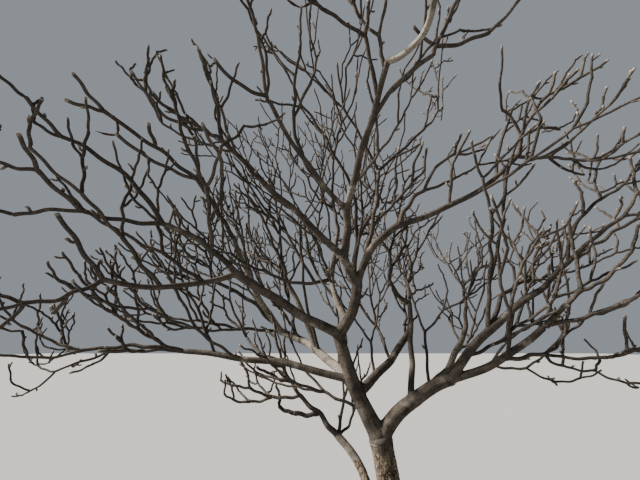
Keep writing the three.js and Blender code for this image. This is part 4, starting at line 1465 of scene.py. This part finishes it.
# The studio in metres: its floor, the width of its light in degrees, and its camera
FLOOR = Group(half=60, height=-0.001)
SURROUNDINGS = (0.80, 0.87, 0.96, 1)
SUN = Group(width=6, colour=(1.0, 0.95, 0.88))
CAMERA = Group(sensor=36, far=300)


def named(**pieces):
    """The names of the limbs or masses in each piece."""
    return {piece: names.split() for piece, names in pieces.items()}


STEM_PIECES = named(bark_trunk="trunk", bark_second_stem="second_stem")
BOUGH_PIECES = named(
    boughs_left=(
        "left_front left_arm left_reach centre_left upper_left back_left back_left_arm "
        "low_left middle_left"),
    boughs_middle=(
        "leader high_bough mid_bough mast_foot mast overhead mast_right centre_right "
        "back_high back_right back_middle"),
    boughs_right="right_limb right_arm right_upper right_lower right_back right_tall",
)
SPRAY_PIECES = named(
    sprays_left=(
        "left_arm left_reach left_arm_up centre_left centre_left_side back_left_arm "
        "left_front"),
    sprays_top=(
        "upper_left mast_up mast_left mast_right overhead upper_left_up back_high_side mast "
        "mast_foot"),
    sprays_right=(
        "right_arm right_arm_side right_upper right_upper_up centre_right_up centre_right"),
    sprays_low_right="right_lower right_lower_side right_far right_back right_tall right_limb",
    sprays_low_left=(
        "low_left_up low_left back_left_side back_left_back back_left second_left second_stem"),
    sprays_back="back_high back_right leader high_bough mid_bough trunk back_middle middle_left",
)


class FRANGIPANI_OT_stems(BarkOperator, bpy.types.Operator):
    """Rough and smooth bark on the trunk and the second stem"""

    bl_idname = "frangipani.stems"
    bl_label = "Stem bark"
    pieces = STEM_PIECES
    slot = "trunk_bark"
    finish = stem_finish
    spacing = "stem_mesh"


class FRANGIPANI_OT_boughs(BarkOperator, bpy.types.Operator):
    """Smooth bark with ring scars on the boughs"""

    bl_idname = "frangipani.boughs"
    bl_label = "Bough bark"
    pieces = BOUGH_PIECES
    slot = "bough_bark"
    finish = bough_finish
    spacing = "bough_mesh"


class FRANGIPANI_OT_sprays(bpy.types.Operator):
    """The full crown of twigs, grown by the rule and joined spray by spray"""

    bl_idname = "frangipani.sprays"
    bl_label = "Twigs"

    def execute(self, context):
        scene = context.scene
        finish = twig_finish("twigs", scene.frangipani_colours)
        spacing = scene.frangipani_sizes.twig_mesh * 1000
        meshes = (spacing * FINE_SPACING, FINE_SIDES), (spacing, MAIN_SIDES)
        masses = {mass.name for mass in MASSES}
        for name, parts in SPRAY_PIECES.items():
            sprays = [spray for spray in grown_tree().sprays if spray.mass.name in parts]
            skin = Skin("own", "marks", "tip", "fresh")
            for spray in sprays:
                shown = [twig for twig in spray.twigs if not twig.hidden()]
                bearing = {twig.parent.serial for twig in shown if twig.parent and twig.at_end}
                for twig in shown:
                    add_twig(skin, twig, twig.serial in bearing, *meshes[twig.key > 0])
            if skin.triangle_count() > MOST_TRIANGLES:
                raise RuntimeError(f"{name} has too many faces")
            nodes = ["twigs_" + part for part in parts if part in masses]
            skin.build(name, finish, nodes)
        return {"FINISHED"}


class FRANGIPANI_OT_pods(bpy.types.Operator):
    """The pairs of dry seed pods at some of the twigs' ends"""

    bl_idname = "frangipani.pods"
    bl_label = "Seed pods"

    def execute(self, context):
        skin = Skin("groove", "end")
        bearers = [spray for spray in grown_tree().sprays if spray.pods]
        pods = [pod for spray in bearers for pod in spray.pods if not pod.bearer.hidden()]
        for number, pod in enumerate(pods):
            add_pod(skin, pod.path, number)
        finish = pod_finish("seed_pods", context.scene.frangipani_colours)
        skin.build(
            "seed_pods", finish, ["twigs_" + spray.mass.name for spray in bearers])
        return {"FINISHED"}


class FRANGIPANI_OT_stage(bpy.types.Operator):
    """The pale floor, the soft lights and the camera at the photograph's viewing angle"""

    bl_idname = "frangipani.stage"
    bl_label = "Stage"

    def execute(self, context):
        scene = context.scene
        studio = scene.frangipani_studio
        colours = scene.frangipani_colours
        mesh = bpy.data.meshes.new("studio_floor")
        half, height = FLOOR.half, FLOOR.height
        corners = [(-half, -half), (half, -half), (half, half), (-half, half)]
        mesh.from_pydata([(*corner, height) for corner in corners], [], [(0, 1, 2, 3)])
        mesh.materials.append(floor_finish(colours))
        floor = in_scene("studio_floor", mesh)

        world = bpy.data.worlds.new("pale_surroundings")
        world.use_nodes = True
        background = world.node_tree.nodes["Background"]
        background.inputs["Color"].default_value = SURROUNDINGS
        background.inputs["Strength"].default_value = studio.fill
        scene.world = world

        key = bpy.data.lights.new("high_key", "SUN")
        key.energy = studio.key
        key.angle = math.radians(SUN.width)
        key.color = SUN.colour
        lamp = in_scene("high_key", key)
        lamp.rotation_euler = (0, math.pi / 2 - studio.key_rise, studio.key_heading)

        lens = bpy.data.cameras.new("viewpoint")
        lens.sensor_width = CAMERA.sensor
        lens.lens = studio.lens
        lens.clip_end = CAMERA.far
        camera = in_scene("viewpoint", lens)
        camera.location = VIEWPOINT / 1000
        camera.rotation_euler = (math.pi / 2 + studio.pitch, 0, 0)
        scene.camera = camera
        return {"FINISHED"}


OPERATORS = (
    FRANGIPANI_OT_stage, FRANGIPANI_OT_stems, FRANGIPANI_OT_boughs, FRANGIPANI_OT_sprays,
    FRANGIPANI_OT_pods)
SETTINGS = {
    "frangipani_colours": FrangipaniColours,
    "frangipani_sizes": FrangipaniSizes,
    "frangipani_studio": FrangipaniStudio,
}


class FRANGIPANI_PT_tree(bpy.types.Panel):
    """The tree's pieces, sizes and colours in the sidebar"""

    bl_idname = "FRANGIPANI_PT_tree"
    bl_label = "Bare Frangipani Tree"
    bl_space_type = "VIEW_3D"
    bl_region_type = "UI"
    bl_category = "Frangipani"

    def draw(self, context):
        for operator in OPERATORS:
            self.layout.operator(operator.bl_idname)
        for name, group in SETTINGS.items():
            box = self.layout.box()
            for setting in group.__annotations__:
                box.prop(getattr(context.scene, name), setting)


def register():
    for group in (*SETTINGS.values(), *OPERATORS, FRANGIPANI_PT_tree):
        bpy.utils.register_class(group)
    for name, group in SETTINGS.items():
        setattr(bpy.types.Scene, name, bpy.props.PointerProperty(type=group))


def unregister():
    for name in SETTINGS:
        delattr(bpy.types.Scene, name)
    for group in (FRANGIPANI_PT_tree, *reversed(OPERATORS), *SETTINGS.values()):
        bpy.utils.unregister_class(group)


def main():
    register()
    for operator in OPERATORS:
        name = operator.bl_idname.split(".")[1]
        getattr(bpy.ops.frangipani, name)()


if __name__ == "__main__":
    main()
